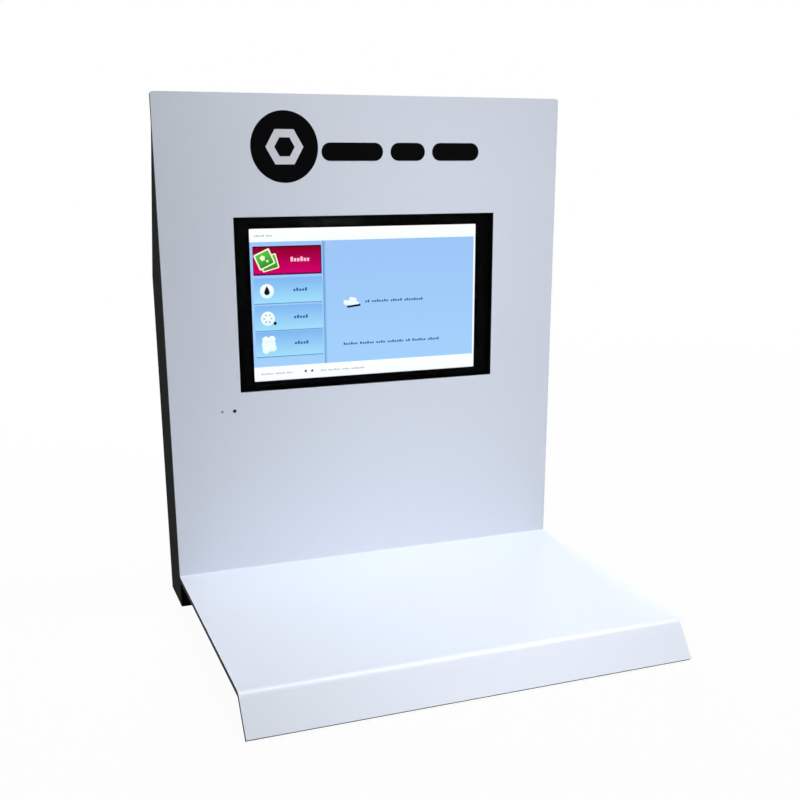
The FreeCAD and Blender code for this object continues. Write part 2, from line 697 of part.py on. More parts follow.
def back_wrap():
    """The bent back: upright lower part and sloping upper part in one sheet."""
    outer, inner = back_corners("0"), back_corners("Dims.wall")
    wrap = plate("back_wrap", "YZ_Plane", around("0", "At.side_x"), [outer + inner[::-1]])
    round_edges(wrap, ALONG_X, "Dims.bend_radius", [("0",) + outer[1]])
    round_edges(wrap, ALONG_X, "Dims.bend_radius - Dims.wall", [("0",) + inner[1]])
    rears = [(side + "At.side_x", "At.back_y", None) for side in ("-", "")]
    round_edges(wrap, ALONG_Z, "Dims.housing_rounding", rears)
    holes = [(across, up, "At.hole_radius") for across, up in
             leaf_screws(-1) + plate_screws() + speaker_screws()]
    pierce(wrap,
           [rectangle(around("0", "At.door_x"), ("At.door_low", "At.door_high")),
            rectangle(around("0", "At.slot_x"), around("At.plate_z", "At.slot_half"))],
           circles=holes, slots=speaker_slots())
    keep(wrap, "back_wrap")


def housing_parts():
    for name, span in (("side_panel_left", ("-At.side_x", "-At.side_inner")),
                       ("side_panel_right", ("At.side_inner", "At.side_x"))):
        side_panel(name, span)
    back_wrap()
    keep(plate("base_plate", "XY_Plane", ("Dims.foot_height", "At.floor_top"),
               [rectangle(around("0", "At.side_inner"), ("At.sheet_back", "At.back_inner"))]),
         "base_plate")
    keep(plate("lower_front_wall", "XY_Plane", ("Dims.foot_height", "At.shelf_under"),
               [rectangle(around("0", "At.side_x"), ("At.face_y", "At.sheet_back"))]),
         "lower_front_wall")
    strip_top = "Dims.slope_head - (Dims.wall + Dims.strip_size) / sin(At.slope)"
    strips = [block("corner_strip", span, ("At.sheet_back", "At.sheet_back + Dims.strip_size"),
                    ("Dims.shelf_height + At.sheet + Dims.crease_radius", strip_top))
              for span in (("-At.side_inner", "-At.side_inner + Dims.strip_size"),
                           ("At.side_inner - Dims.strip_size", "At.side_inner"))]
    keep(grouped("corner_strips", strips), "corner_strips")
    feet = []
    for side in ("-", ""):
        for depth in ("At.sheet_back + Dims.foot_inset", "At.back_inner - Dims.foot_inset"):
            feet.append(rod("foot", "z", "%s(At.side_inner - Dims.foot_inset)" % side, depth, "0",
                            "Dims.foot_radius", "Dims.foot_height"))
    keep(grouped("rubber_feet", feet), "rubber_feet")


# ---------------------------------------------------------------- the display and its tray

def block_places():
    return [("%sAt.block_x" % side, "At.window_z %s Dims.block_spread / 2" % level)
            for side in ("-", "") for level in "-+"]


def tray():
    """A shallow steel tray round the display, with two straps whose ends are its ears."""
    depth = ("At.display_back", "At.tray_back")
    rim_depth = ("At.display_front + Dims.tray_setback", "At.tray_back")
    outer_x, outer_half = "(At.rim_x + Dims.tray_thickness)", "(At.rim_half + Dims.tray_thickness)"
    across, up = around("0", outer_x), around("At.display_z", outer_half)
    pieces = [block("tray_floor", across, depth, up)]
    for low, high in ((across[0], "-At.rim_x"), ("At.rim_x", across[1])):
        pieces.append(block("tray_side", (low, high), rim_depth, up))
    for low, high in ((up[0], "At.display_z - At.rim_half"), ("At.display_z + At.rim_half", up[1])):
        pieces.append(block("tray_end", across, rim_depth, (low, high)))
    for level in "-+":
        centre = "At.window_z %s Dims.block_spread / 2" % level
        pieces.append(block("tray_strap", around("0", "At.block_x + Dims.block_size / 2"), depth,
                            around(centre, "Dims.ear_width / 2")))
    through = ("At.display_back - " + OVERRUN, "At.tray_back + " + OVERRUN)
    holes = [rod("tray_hole", "y", across, through[0], up, "At.hole_radius", "(%s) - (%s)" % through[::-1])
             for across, up in block_places()]
    wide = around("At.ribbon_x", "Dims.ribbon_width / 2 + Dims.ribbon_clear")
    high = around("At.ribbon_z - Dims.ribbon_thickness / 2", "Dims.ribbon_thickness / 2 + Dims.ribbon_clear")
    holes.append(block("ribbon_slot", wide, through, high))
    keep(cut("module_tray", fused("tray_shell", pieces), holes), "module_tray")


def mount_blocks():
    """Acrylic blocks bonded behind the panel, bored for the tray's screws."""
    blocks = []
    for across, up in block_places():
        solid = block("mount_block", around(across, "Dims.block_size / 2"), ("At.sheet_back", "At.display_back"),
                      around(up, "Dims.block_size / 2"))
        bore = rod("mount_bore", "y", across, "At.sheet_back + Dims.blind_wall", up, "At.hole_radius",
                   "At.display_back - At.sheet_back")
        blocks.append(cut("bored_block", solid, [bore]))
    keep(grouped("mount_blocks", blocks), "mount_blocks")


def display_parts():
    glass_up = ("At.glass_low", "At.glass_high")
    gasket_x = "At.window_x + Dims.gasket_setback"
    gasket_up = ("At.window_low - Dims.gasket_setback", "At.window_high + Dims.gasket_setback")
    keep(plate("glass_gasket", "XZ_Plane", ("At.sheet_back", "At.glass_front"),
               [rectangle(around("0", "At.glass_x"), glass_up), rectangle(around("0", gasket_x), gasket_up)]),
         "glass_gasket")
    glass = block("touch_glass", around("0", "At.glass_x"), ("At.glass_front", "At.glass_back"), glass_up)
    keep(glass, "touch_glass")
    keep(block("display_module", around("0", "At.display_x"), ("At.display_front", "At.display_back"),
               around("At.display_z", "At.display_half")), "display_module")
    tray()
    mount_blocks()


# ---------------------------------------------------------------- the player board

def board_hole_places():
    return [("Dims.board_shift %s At.board_hole_x" % side, "At.board_z %s At.board_hole_z" % level)
            for side in "-+" for level in "-+"]


def on_board(across, up, wide, high, tall):
    """A component on the player board, its centre measured from the board's centre."""
    return block("component", around("Dims.board_shift + %s" % across, "%s / 2" % wide),
                 ("At.board_back", "At.board_back + %s" % tall), around("At.board_z + %s" % up, "%s / 2" % high))


def heat_sink():
    """A finned block of aluminium on the processor."""
    base_y, half = "At.board_back + Dims.chip_height", "Dims.sink_size / 2"
    up = around("At.board_z", half)
    pieces = [block("sink_base", around("Dims.board_shift", half), (base_y, base_y + " + Dims.sink_base"), up)]
    fin_count = 8
    for index in range(fin_count):
        low = "Dims.board_shift - %s + %d * (Dims.sink_size - Dims.fin_thickness) / %d" % (
            half, index, fin_count - 1)
        pieces.append(block("sink_fin", (low, low + " + Dims.fin_thickness"),
                            (base_y, base_y + " + Dims.sink_height"), up))
    keep(fused("processor_heat_sink", pieces), "processor_heat_sink")


def board_parts():
    keep(plate("player_board", "XZ_Plane", ("At.board_front", "At.board_back"),
               [rectangle(around("Dims.board_shift", "Dims.board_width / 2"),
                          around("At.board_z", "Dims.board_height / 2"))],
               circles=[(across, up, "At.hole_radius") for across, up in board_hole_places()]),
         "player_board")
    spacers = []
    for across, up in board_hole_places():
        spacer = doc.addObject("Part::Prism", "spacer")
        spacer.Placement = Placement(Vector(), TURNED_ALONG["y"])
        spacer.Polygon = 6
        spacer.setExpression("Circumradius", "Dims.standoff_radius")
        spacer.setExpression("Height", "Dims.standoff_height")
        place(spacer, across, "At.tray_back", up)
        bore = rod("spacer_bore", "y", across, "At.tray_back + Dims.blind_wall", up, "At.hole_radius",
                   "Dims.standoff_height")
        spacers.append(cut("bored_spacer", spacer, [bore]))
    keep(grouped("board_spacers", spacers), "board_spacers")
    processor = on_board("0", "0", "Dims.chip_size", "Dims.chip_size", "Dims.chip_height")
    keep(grouped("board_chips", [processor] + [on_board(*chip) for chip in CHIPS]), "board_chips")
    heat_sink()
    keep(grouped("board_sockets", [on_board(*socket) for socket in SOCKETS]), "board_sockets")


def inner_screws():
    """The screws that hold the tray to its blocks and the player board to its spacers."""
    tray = screw_shapes([(across, "At.tray_back", up) for across, up in block_places()],
                        ALONG_Y, number("Dims.tray_thickness + Dims.tray_bite"))
    board = screw_shapes([(across, "At.board_back", up) for across, up in board_hole_places()],
                         ALONG_Y, number("Dims.board_thickness + Dims.board_bite"))
    keep_shapes("inner_screws", tray + board)


# ---------------------------------------------------------------- receiver and indicator

def sensor_parts():
    """A small board behind the panel with the receiver and the indicator in their holes."""
    flange_reach = "Dims.sensor_gap - Dims.lens_gap"
    rim_reach = "Dims.sensor_gap + At.sheet - Dims.lens_recess"
    for name, across, hole in (("remote_receiver", "-Dims.receiver_offset", "Dims.receiver_radius"),
                               ("status_indicator", "At.indicator_x", "Dims.indicator_radius")):
        radius = hole + " - Dims.lens_gap"
        lens = turned(name, [("0", "0"), ("Dims.lens_flange", "0"), ("Dims.lens_flange", flange_reach),
                             (radius, flange_reach), (radius, rim_reach), ("0", rim_reach + " + Dims.lens_crown")],
                      across, "At.board_y", "At.sensor_z")
        lens.Placement = Placement(Vector(), Rotation(ALONG_Z, 180))
        place(lens, across, "At.board_y", "At.sensor_z")
        keep(lens, name)
    edge = "2 * Dims.lens_flange"
    post_x = "-Dims.receiver_offset + Dims.sensor_spacing / 2"
    board = block("sensor_board", ("At.indicator_x - " + edge, "%s + %s" % (post_x, edge)),
                  ("At.board_y", "At.board_y + Dims.board_thickness"), around("At.sensor_z", edge))
    keep(board, "sensor_board")
    posts = [rod("sensor_post", "y", across, "At.sheet_back", "At.sensor_z", "Dims.sensor_post_radius",
                 "Dims.sensor_gap")
             for across in ("At.indicator_x + Dims.sensor_spacing / 2", post_x)]
    keep(grouped("sensor_posts", posts), "sensor_posts")


# ---------------------------------------------------------------- the service door

def vent_slots():
    """Two banks of level slots, near the door's top and bottom."""
    slots = []
    for bank in (-1, 1):
        for row in range(5):
            up = "At.door_z + %d * (Dims.door_height / 2 - Dims.vent_inset - %d * Dims.vent_pitch)" % (bank, row)
            slots.append(("0", up, "Dims.vent_length / 2", "0", "Dims.vent_radius"))
    return slots


def door_panel():
    """The flat door with its vents and the lock's hole."""
    holes = [(across, up, "At.hole_radius") for across, up in leaf_screws(1)]
    holes.append(("At.lock_x", "At.door_z", "Dims.barrel_radius + Dims.screw_gap"))
    door = plate("service_door", "XZ_Plane", ("At.back_inner", "At.back_y"),
                 [rectangle(around("0", "At.door_x - Dims.door_gap"),
                            ("At.door_low + Dims.door_gap", "At.door_high - Dims.door_gap"))],
                 circles=holes, slots=vent_slots())
    sides = [(side + "(At.door_x - Dims.door_gap)", "At.back_y", None) for side in ("-", "")]
    round_edges(door, ALONG_Z, "Dims.edge_rounding", sides)
    keep(door, "service_door")


def hinge_leaf(name, height, side, knuckles):
    """A leaf on one side of the pin (-1 frame, 1 door) with knuckles at the given thirds."""
    def across(near, far):
        ends = ["At.pin_x + %d * (%s)" % (side, reach) for reach in (near, far)]
        return tuple(ends) if side > 0 else tuple(ends[::-1])
    flat = ("At.back_y", "At.back_y + Dims.leaf_thickness")
    pieces = [block("leaf", across("Dims.knuckle_radius + Dims.leaf_gap", "Dims.leaf_width"), flat,
                    around(height, "Dims.leaf_length / 2"))]
    bores = []
    for third in knuckles:
        low = "%s + %d * Dims.leaf_length / 3 - Dims.leaf_length / 6 + Dims.leaf_gap / 2" % (height, third)
        length = "Dims.leaf_length / 3 - Dims.leaf_gap"
        pieces.append(rod("knuckle", "z", "At.pin_x", "At.pin_y", low, "Dims.knuckle_radius", length))
        pieces.append(block("tongue", across("At.knuckle_bore", "Dims.knuckle_radius + Dims.leaf_thickness"), flat,
                            (low, "%s + %s" % (low, length))))
        bores.append(rod("bore", "z", "At.pin_x", "At.pin_y", low, "At.knuckle_bore", length))
    for screw_across, screw_up in leaf_screws(side):
        if height in screw_up:
            bores.append(rod("leaf_hole", "y", screw_across, "At.back_y", screw_up, "At.hole_radius",
                             "Dims.leaf_thickness"))
    keep(cut(name, fused(name + "_leaf", pieces), bores), name)


def hinge_parts():
    for level, height in hinge_heights():
        hinge_leaf(level + "_frame_leaf", height, -1, (-1, 1))
        hinge_leaf(level + "_door_leaf", height, 1, (0,))
        low = "%s - Dims.leaf_length / 2" % height
        shaft = rod("pin_shaft", "z", "At.pin_x", "At.pin_y", low, "Dims.pin_radius", "Dims.leaf_length")
        top = "%s + Dims.leaf_length / 2 - Dims.leaf_gap / 2" % height
        heads = [rod("pin_head", "z", "At.pin_x", "At.pin_y", start, "Dims.pin_head_radius",
                     "Dims.pin_head_height + Dims.leaf_gap / 2")
                 for start in (low + " - Dims.pin_head_height", top)]
        keep(fused(level + "_hinge_pin", [shaft] + heads), level + "_hinge_pin")
    keep_shapes("door_screws", hinge_screws(1))


def hinge_screws(side):
    """The screws of both leaves on one side of the pins."""
    places = [(across, "At.back_y + Dims.leaf_thickness", up) for across, up in leaf_screws(side)]
    return screw_shapes(places, ALONG_Y, number("Dims.leaf_thickness") + number("Dims.wall"))


def back_screws():
    """The screws in the back: hinge leaves, input panel and speakers."""
    wall = number("Dims.wall")
    panel = screw_shapes([(across, "At.plate_outer", up) for across, up in plate_screws()],
                         ALONG_Y, number("Dims.plate_thickness") + wall)
    speakers = screw_shapes([(across, "At.back_y", up) for across, up in speaker_screws()], ALONG_Y, wall)
    keep_shapes("back_screws", hinge_screws(-1) + panel + speakers)


def lock_parts():
    """A quarter-turn cam lock: barrel and nut on the door, plug and cam that turn in it."""
    bore = "Dims.plug_radius + Dims.turning_gap"
    keep(turned("lock_barrel", [(bore, "-Dims.barrel_length"), ("Dims.barrel_radius", "-Dims.barrel_length"),
                                ("Dims.barrel_radius", "0"), ("Dims.bezel_radius", "0"),
                                ("Dims.bezel_radius - Dims.edge_rounding", "Dims.bezel_height"),
                                (bore, "Dims.bezel_height")],
                "At.lock_x", "At.back_y", "At.door_z"), "lock_barrel")
    nut = doc.addObject("Part::Prism", "nut_blank")
    nut.Placement = Placement(Vector(), TURNED_ALONG["y"])
    nut.Polygon = 6
    nut.setExpression("Circumradius", "Dims.nut_radius")
    nut.setExpression("Height", "Dims.nut_thickness")
    place(nut, "At.lock_x", "At.back_inner - Dims.nut_thickness", "At.door_z")
    thread = rod("nut_bore", "y", "At.lock_x", "At.back_inner - Dims.nut_thickness - " + OVERRUN, "At.door_z",
                 "Dims.barrel_radius + Dims.turning_gap", "Dims.nut_thickness + 2 * " + OVERRUN)
    keep(cut("lock_nut", nut, [thread]), "lock_nut")
    plug_end = "At.back_y + Dims.bezel_height + Dims.plug_proud"
    plug = rod("plug_blank", "y", "At.lock_x", "At.cam_front", "At.door_z", "Dims.plug_radius",
               plug_end + " - At.cam_front")
    keyway = block("keyway", around("At.lock_x", "Dims.keyway_width / 2"),
                   ("At.back_y - Dims.keyway_depth", "%s + %s" % (plug_end, OVERRUN)),
                   around("At.door_z", "Dims.keyway_height / 2"))
    keep(cut("lock_plug", plug, [keyway]), "lock_plug")
    disc = rod("cam_disc", "y", "At.lock_x", "At.cam_back", "At.door_z", "Dims.barrel_radius - Dims.edge_rounding",
               "Dims.cam_thickness")
    arm = block("cam_arm", around("At.lock_x", "Dims.cam_width / 2"), ("At.cam_back", "At.cam_front"),
                ("At.door_z", "At.door_z + Dims.cam_reach"))
    hole = rod("cam_hole", "y", "At.lock_x", "At.cam_back - " + OVERRUN, "At.door_z", "At.hole_radius",
               "Dims.cam_thickness + 2 * " + OVERRUN)
    keep(cut("lock_cam", fused("cam_blank", [disc, arm]), [hole]), "lock_cam")
    keep_shapes("lock_cam_screw", screw_shapes([("At.lock_x", "At.cam_back", "At.door_z")], -ALONG_Y,
                                               number("Dims.cam_thickness")))
    strike = block("lock_strike",
                   ("At.door_x + Dims.strike_inset", "At.lock_x + Dims.cam_reach + Dims.strike_cover"),
                   ("At.cam_front + Dims.cam_gap", "At.back_inner"), around("At.door_z", "Dims.cam_width"))
    keep(strike, "lock_strike")


# ---------------------------------------------------------------- the input panel

def key_places():
    return [(name, "%s + %d * Dims.key_pitch" % (FIRST_KEY_X, index)) for index, name in enumerate(KEY_NAMES)]


def input_panel():
    """The plate with its cut-outs, and four bosses behind it for the circuit board."""
    holes = [(across, "At.plate_z", "Dims.key_radius + Dims.key_gap") for _, across in key_places()]
    holes += [(across, up, "At.hole_radius") for across, up in plate_screws()]
    holes.append((INLET_X, "At.plate_z", "Dims.inlet_radius + Dims.switch_gap"))
    middle = "At.plate_z"
    cutouts = [
        rectangle(around("0", "Dims.plate_width / 2"), around(middle, "Dims.plate_height / 2")),
        rectangle(around(SWITCH_X, "Dims.switch_width / 2"), around(middle, "Dims.switch_height / 2")),
        rectangle(around(PORT_X, "Dims.port_width / 2 + Dims.cutout_gap"),
                  around(middle, "Dims.port_height / 2 + Dims.cutout_gap")),
        rectangle(around(CARD_X, "Dims.slit_width / 2 + 4 * Dims.cutout_gap"),
                  around(middle, "Dims.slit_height / 2 + 4 * Dims.cutout_gap")),
    ]
    panel = plate("input_panel", "XZ_Plane", ("At.back_y", "At.plate_outer"), cutouts, circles=holes)
    corners = [(side + "Dims.plate_width / 2", None, "At.plate_z %s Dims.plate_height / 2" % level)
               for side in ("-", "") for level in "-+"]
    round_edges(panel, ALONG_Y, "Dims.corner_radius", corners)
    keep(panel, "input_panel")
    reach = "At.slot_half - Dims.input_post_radius - Dims.input_post_gap"
    posts = []
    for across in POSTS_X:
        for level in "-+":
            posts.append(rod("post", "y", across, "At.socket_y", "At.plate_z %s (%s)" % (level, reach),
                             "Dims.input_post_radius", "Dims.socket_depth"))
    keep(grouped("input_posts", posts), "input_posts")


def push_keys():
    """Five sprung keys, each with a collar behind the panel and a stem on to its switch."""
    collar = "Dims.key_radius + Dims.collar_width"
    collar_low = "-Dims.collar_gap - Dims.collar_height"
    cap = "Dims.plate_thickness + Dims.key_height"
    profile = [("0", "-Dims.stem_reach"), ("Dims.stem_radius", "-Dims.stem_reach"),
               ("Dims.stem_radius", collar_low), (collar, collar_low), (collar, "-Dims.collar_gap"),
               ("Dims.key_radius", "-Dims.collar_gap"), ("Dims.key_radius", cap + " - Dims.key_rounding"),
               ("Dims.key_radius - Dims.key_rounding", cap), ("0", cap + " - Dims.key_dish")]
    for name, across in key_places():
        keep(turned(name, profile, across, "At.back_y", "At.plate_z"), name)


def tact_switches():
    """A small switch on the circuit board behind each key."""
    switches = []
    top = "At.socket_y + Dims.tact_height"
    reach = "Dims.socket_depth - Dims.tact_height - Dims.stem_reach - Dims.key_travel - Dims.collar_gap"
    for _, across in key_places():
        base = block("tact_base", around(across, "Dims.tact_size / 2"), ("At.socket_y", top),
                     around("At.plate_z", "Dims.tact_size / 2"))
        plunger = rod("tact_plunger", "y", across, top, "At.plate_z", "Dims.tact_radius", reach)
        switches.append(fused("tact_switch", [base, plunger]))
    keep(grouped("tact_switches", switches), "tact_switches")


def power_inlet():
    """A round low-voltage inlet: rim and barrel through the panel, bore with a centre pin."""
    rim_face = "Dims.plate_thickness + Dims.inlet_rim_height"
    profile = [("Dims.inlet_bore_radius", "-Dims.inlet_bore_depth"), ("Dims.inlet_bore_radius", rim_face),
               ("Dims.inlet_rim_radius", rim_face), ("Dims.inlet_rim_radius", "Dims.plate_thickness"),
               ("Dims.inlet_radius", "Dims.plate_thickness"), ("Dims.inlet_radius", "-Dims.inlet_depth"),
               ("0", "-Dims.inlet_depth"), ("0", "Dims.inlet_pin_radius / 2"), ("Dims.inlet_pin_radius", "0"),
               ("Dims.inlet_pin_radius", "-Dims.inlet_bore_depth")]
    keep(turned("power_inlet", profile, INLET_X, "At.back_y", "At.plate_z"), "power_inlet")


def power_switch():
    """A rocker in a rimmed housing; the rocker rests with its upper half pressed in."""
    half_x, half_z = "Dims.switch_width / 2", "Dims.switch_height / 2"
    rim = block("switch_rim", around(SWITCH_X, half_x + " + Dims.switch_flange"),
                ("At.plate_outer", "At.plate_outer + Dims.switch_flange"),
                around("At.plate_z", half_z + " + Dims.switch_flange"))
    body_end = "At.plate_outer - Dims.switch_depth"
    box = block("switch_box", around(SWITCH_X, half_x + " - Dims.switch_gap"), (body_end, "At.plate_outer"),
                around("At.plate_z", half_z + " - Dims.switch_gap"))
    wall = " - Dims.switch_gap - Dims.switch_wall"
    well = block("switch_well", around(SWITCH_X, half_x + wall),
                 ("At.plate_outer - Dims.switch_well", "At.plate_outer + Dims.switch_flange + " + OVERRUN),
                 around("At.plate_z", half_z + wall))
    tabs = []
    for side in "-+":
        across = "%s %s Dims.tab_spacing / 2" % (SWITCH_X, side)
        tabs.append(block("switch_tab", around(across, "Dims.tab_thickness / 2"), ("At.tab_end", body_end),
                          around("At.plate_z", "Dims.tab_width / 2")))
    keep(cut("switch_housing", fused("switch_shell", [rim, box] + tabs), [well]), "switch_housing")
    half = "(%s%s - Dims.rocker_end_gap)" % (half_z, wall)
    heel, waist, crown, saddle = "-2.6", "2.5", "4.6", "3.7"
    rocker = plate("power_rocker", "YZ_Plane", around("0", half_x + wall + " - Dims.rocker_gap"),
                   [[(heel, "-" + waist), ("0", "-" + half), (crown, "-" + half), (saddle, "0"),
                     (crown, half), ("0", half), (heel, waist)]])
    rocker.Placement = Placement(Vector(), Rotation(ALONG_X, number("Dims.switch_throw") / 2))
    place(rocker, SWITCH_X, "At.plate_outer - Dims.rocker_pivot", "At.plate_z")
    keep(rocker, "power_rocker")


def data_sockets():
    """A metal-shelled data port and a memory-card socket on the input circuit board."""
    middle, bottom = "At.plate_z", "At.socket_y + Dims.socket_wall"
    half_x, half_z = "Dims.port_width / 2", "Dims.port_height / 2"
    wall = " - Dims.port_wall"
    shell = block("port_shell", around(PORT_X, half_x), ("At.socket_y", "At.plate_outer"), around(middle, half_z))
    mouth = block("port_mouth", around(PORT_X, half_x + wall), (bottom, "At.plate_outer + " + OVERRUN),
                  around(middle, half_z + wall))
    tongue_top = "%s + %s%s - Dims.tongue_gap" % (middle, half_z, wall)
    tongue = block("port_tongue", around(PORT_X, half_x + wall + wall),
                   ("At.socket_y", "At.plate_outer - Dims.socket_wall"),
                   (tongue_top + " - Dims.tongue_height", tongue_top))
    keep(fused("data_port", [cut("port_case", shell, [mouth]), tongue]), "data_port")
    case = block("card_case", around(CARD_X, "Dims.card_width / 2"), ("At.socket_y", "At.back_y"),
                 around(middle, "Dims.card_height / 2"))
    slit = block("card_slit", around(CARD_X, "Dims.slit_width / 2"), (bottom, "At.back_y + " + OVERRUN),
                 around(middle, "Dims.slit_height / 2"))
    keep(cut("card_socket", case, [slit]), "card_socket")


def input_parts():
    input_panel()
    board_x = (POSTS_X[0] + " - Dims.tact_size", "%s + 5.4 * Dims.key_pitch" % FIRST_KEY_X)
    keep(block("input_board", board_x, ("At.socket_y - Dims.board_thickness", "At.socket_y"),
               around("At.plate_z", "Dims.input_board_height / 2")), "input_board")
    push_keys()
    tact_switches()
    power_inlet()
    power_switch()
    data_sockets()


# ---------------------------------------------------------------- speakers and leads

def speaker_parts():
    """Two round speakers against the inside of the back, firing out through its slots."""
    rim = "Dims.speaker_radius"
    frame, magnet = rim + " - Dims.frame_inset", rim + " - Dims.magnet_inset"
    cone = [("0", "-7.5"), ("6", "-7"), ("12", "-1.5"), ("13.5", "-2.2"), ("15", "-0.4"), ("15.5", "0")]
    profile = cone + [(rim, "0"), (rim, "-Dims.rim_thickness"), (frame, "-Dims.rim_thickness - 1"),
                      (magnet, "-Dims.magnet_front"), (magnet, "-Dims.speaker_depth"), ("0", "-Dims.speaker_depth")]
    for name, side in (("speaker_left", "-"), ("speaker_right", "")):
        speaker = turned(name, profile, "%sDims.speaker_offset" % side, "At.back_inner", "Dims.speaker_rise")
        keep(speaker, name)


def display_ribbon():
    """The flat cable from the display, over the player board's top edge to its socket."""
    low = "At.ribbon_z - Dims.ribbon_thickness"
    end = "At.board_z + 35"
    inner = "At.board_back + 1.1"
    outer = inner + " + Dims.ribbon_thickness"
    ribbon = plate("display_ribbon", "YZ_Plane", around("At.ribbon_x", "Dims.ribbon_width / 2"),
                   [[("At.display_back", "At.ribbon_z"), (outer, "At.ribbon_z"), (outer, end), (inner, end),
                     (inner, low), ("At.display_back", low)]])
    round_edges(ribbon, ALONG_X, "2 + Dims.ribbon_thickness", [("At.ribbon_x", outer, "At.ribbon_z")])
    round_edges(ribbon, ALONG_X, "2", [("At.ribbon_x", inner, low)])
    keep(ribbon, "display_ribbon")


def lead_parts():
    """The leads between the player board and what it drives, each clear of its neighbours."""
    depth = "At.board_back + 3.5"
    socket_low = "At.board_z - 34.5"
    power, signal, speaker = 1.4, 1.0, 1.0
    switch_tab = "At.tab_end"
    keep_shapes("power_leads", [
        lead([(INLET_X, "At.back_y - Dims.inlet_depth", "At.plate_z"), (INLET_X, "At.back_y - 21", "At.plate_z"),
              (INLET_X + " + 6", "At.back_y - 29", "At.plate_z"),
              (SWITCH_X + " - 9", "At.back_y - 29", "At.plate_z"),
              (SWITCH_X + " - 3", "At.back_y - 25", "At.plate_z"),
              (SWITCH_X + " - 3", switch_tab, "At.plate_z")], power),
        lead([(SWITCH_X + " + 3", switch_tab, "At.plate_z"),
              (SWITCH_X + " + 3", switch_tab + " - 9", "At.plate_z"),
              (SWITCH_X + " + 3", switch_tab + " - 12.5", "At.plate_z + 14"),
              (SWITCH_X + " - 4", depth + " - 2", "At.plate_z + 59"),
              (SWITCH_X + " - 2", depth, "At.plate_z + 119"),
              ("Dims.board_shift - 40", depth, socket_low + " - 22"),
              ("Dims.board_shift - 40", depth, socket_low)], power)])
    keep_shapes("signal_leads", [
        lead([("60", "At.socket_y - Dims.board_thickness", "At.plate_z"),
              ("60", "At.socket_y - 12", "At.plate_z"),
              ("58", depth + " + 3", "At.plate_z + 11"),
              ("48", depth, "At.plate_z + 59"),
              ("30", depth, "At.plate_z + 119"),
              ("Dims.board_shift + 34", depth, socket_low + " - 22"),
              ("Dims.board_shift + 34", depth, socket_low)], signal),
        lead([("-Dims.receiver_offset - 3", "At.board_y + Dims.board_thickness", "At.sensor_z"),
              ("-Dims.receiver_offset - 3", "At.sheet_back + 12.5", "At.sensor_z"),
              ("-Dims.receiver_offset + 10", "At.sheet_back + 13", "At.sensor_z - 10"),
              ("-80", "At.sheet_back + 13", "At.sensor_z - 17"),
              ("-45", "At.sheet_back + 13", "At.sensor_z - 12"),
              ("Dims.board_shift - 18", "At.sheet_back + 17", "At.sensor_z + 7"),
              ("Dims.board_shift - 18", depth, "At.sensor_z + 17"),
              ("Dims.board_shift - 18", depth, socket_low)], signal)])
    speaker_runs = []
    for side, socket_x in (("-", "Dims.board_shift + 1"), ("", "Dims.board_shift + 11")):
        magnet = "%s(Dims.speaker_offset - 6)" % side
        speaker_runs.append(lead([
            (magnet, "At.back_inner - Dims.speaker_depth", "Dims.speaker_rise - 6"),
            (magnet, "At.back_inner - 24", "Dims.speaker_rise - 6"),
            ("%s(Dims.speaker_offset - 22)" % side, "At.sheet_back + 17", "Dims.speaker_rise - 16"),
            ("%s80" % side, "At.sheet_back + 15", "Dims.speaker_rise - 22"),
            ("%s33" % side, "At.sheet_back + 15", "Dims.speaker_rise - 12"),
            (socket_x, depth, "Dims.speaker_rise + 20"),
            (socket_x, depth, socket_low)], speaker))
    keep_shapes("speaker_leads", speaker_runs)


front_parts()
housing_parts()
display_parts()
board_parts()
sensor_parts()
door_panel()
hinge_parts()
lock_parts()
input_parts()
speaker_parts()
inner_screws()
back_screws()
display_ribbon()
lead_parts()
doc.recompute()

for feature in doc.Objects:
    if {"Invalid", "Error"} & set(feature.State):
        raise RuntimeError("%s is in state %s" % (feature.Label, feature.State))
for feature in subparts:
    if feature.Shape.isNull() or not feature.Shape.isValid() or not feature.Shape.Solids:
        raise RuntimeError("%s has no valid solid" % feature.Label)

os.makedirs("parts", exist_ok=True)
for feature in subparts:
    feature.Shape.exportStep("parts/%s.step" % feature.Label)
print(len(subparts), "sub-parts written")
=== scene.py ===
"""Looks of the counter-top touchscreen kiosk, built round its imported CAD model.

Metres; X to the right, Y to the back, Z up; the origin is at the middle of the footprint.
"""
import math

import bpy
from mathutils import Matrix, Vector


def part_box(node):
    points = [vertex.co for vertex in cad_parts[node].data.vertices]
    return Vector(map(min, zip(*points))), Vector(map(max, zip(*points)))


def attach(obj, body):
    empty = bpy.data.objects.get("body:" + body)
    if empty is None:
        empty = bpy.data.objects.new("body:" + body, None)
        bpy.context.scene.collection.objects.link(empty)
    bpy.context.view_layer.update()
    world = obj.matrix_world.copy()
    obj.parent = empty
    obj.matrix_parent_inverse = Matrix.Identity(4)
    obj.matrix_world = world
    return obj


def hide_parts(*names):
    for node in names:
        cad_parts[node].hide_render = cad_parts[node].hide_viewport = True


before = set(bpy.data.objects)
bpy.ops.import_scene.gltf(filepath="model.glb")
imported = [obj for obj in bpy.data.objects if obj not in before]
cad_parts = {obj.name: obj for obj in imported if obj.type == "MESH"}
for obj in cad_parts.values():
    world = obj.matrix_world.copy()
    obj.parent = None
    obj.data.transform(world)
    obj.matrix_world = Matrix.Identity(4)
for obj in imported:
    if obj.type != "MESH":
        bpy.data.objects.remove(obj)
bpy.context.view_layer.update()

MM = 0.001
KIOSK = "kiosk"

# sizes of the CAD model that its boxes don't give by themselves
SHEET = 5.0 * MM                  # folded front sheet, laminate included
SCREEN_MARGIN = 6.2 * MM          # display module beyond its lit area

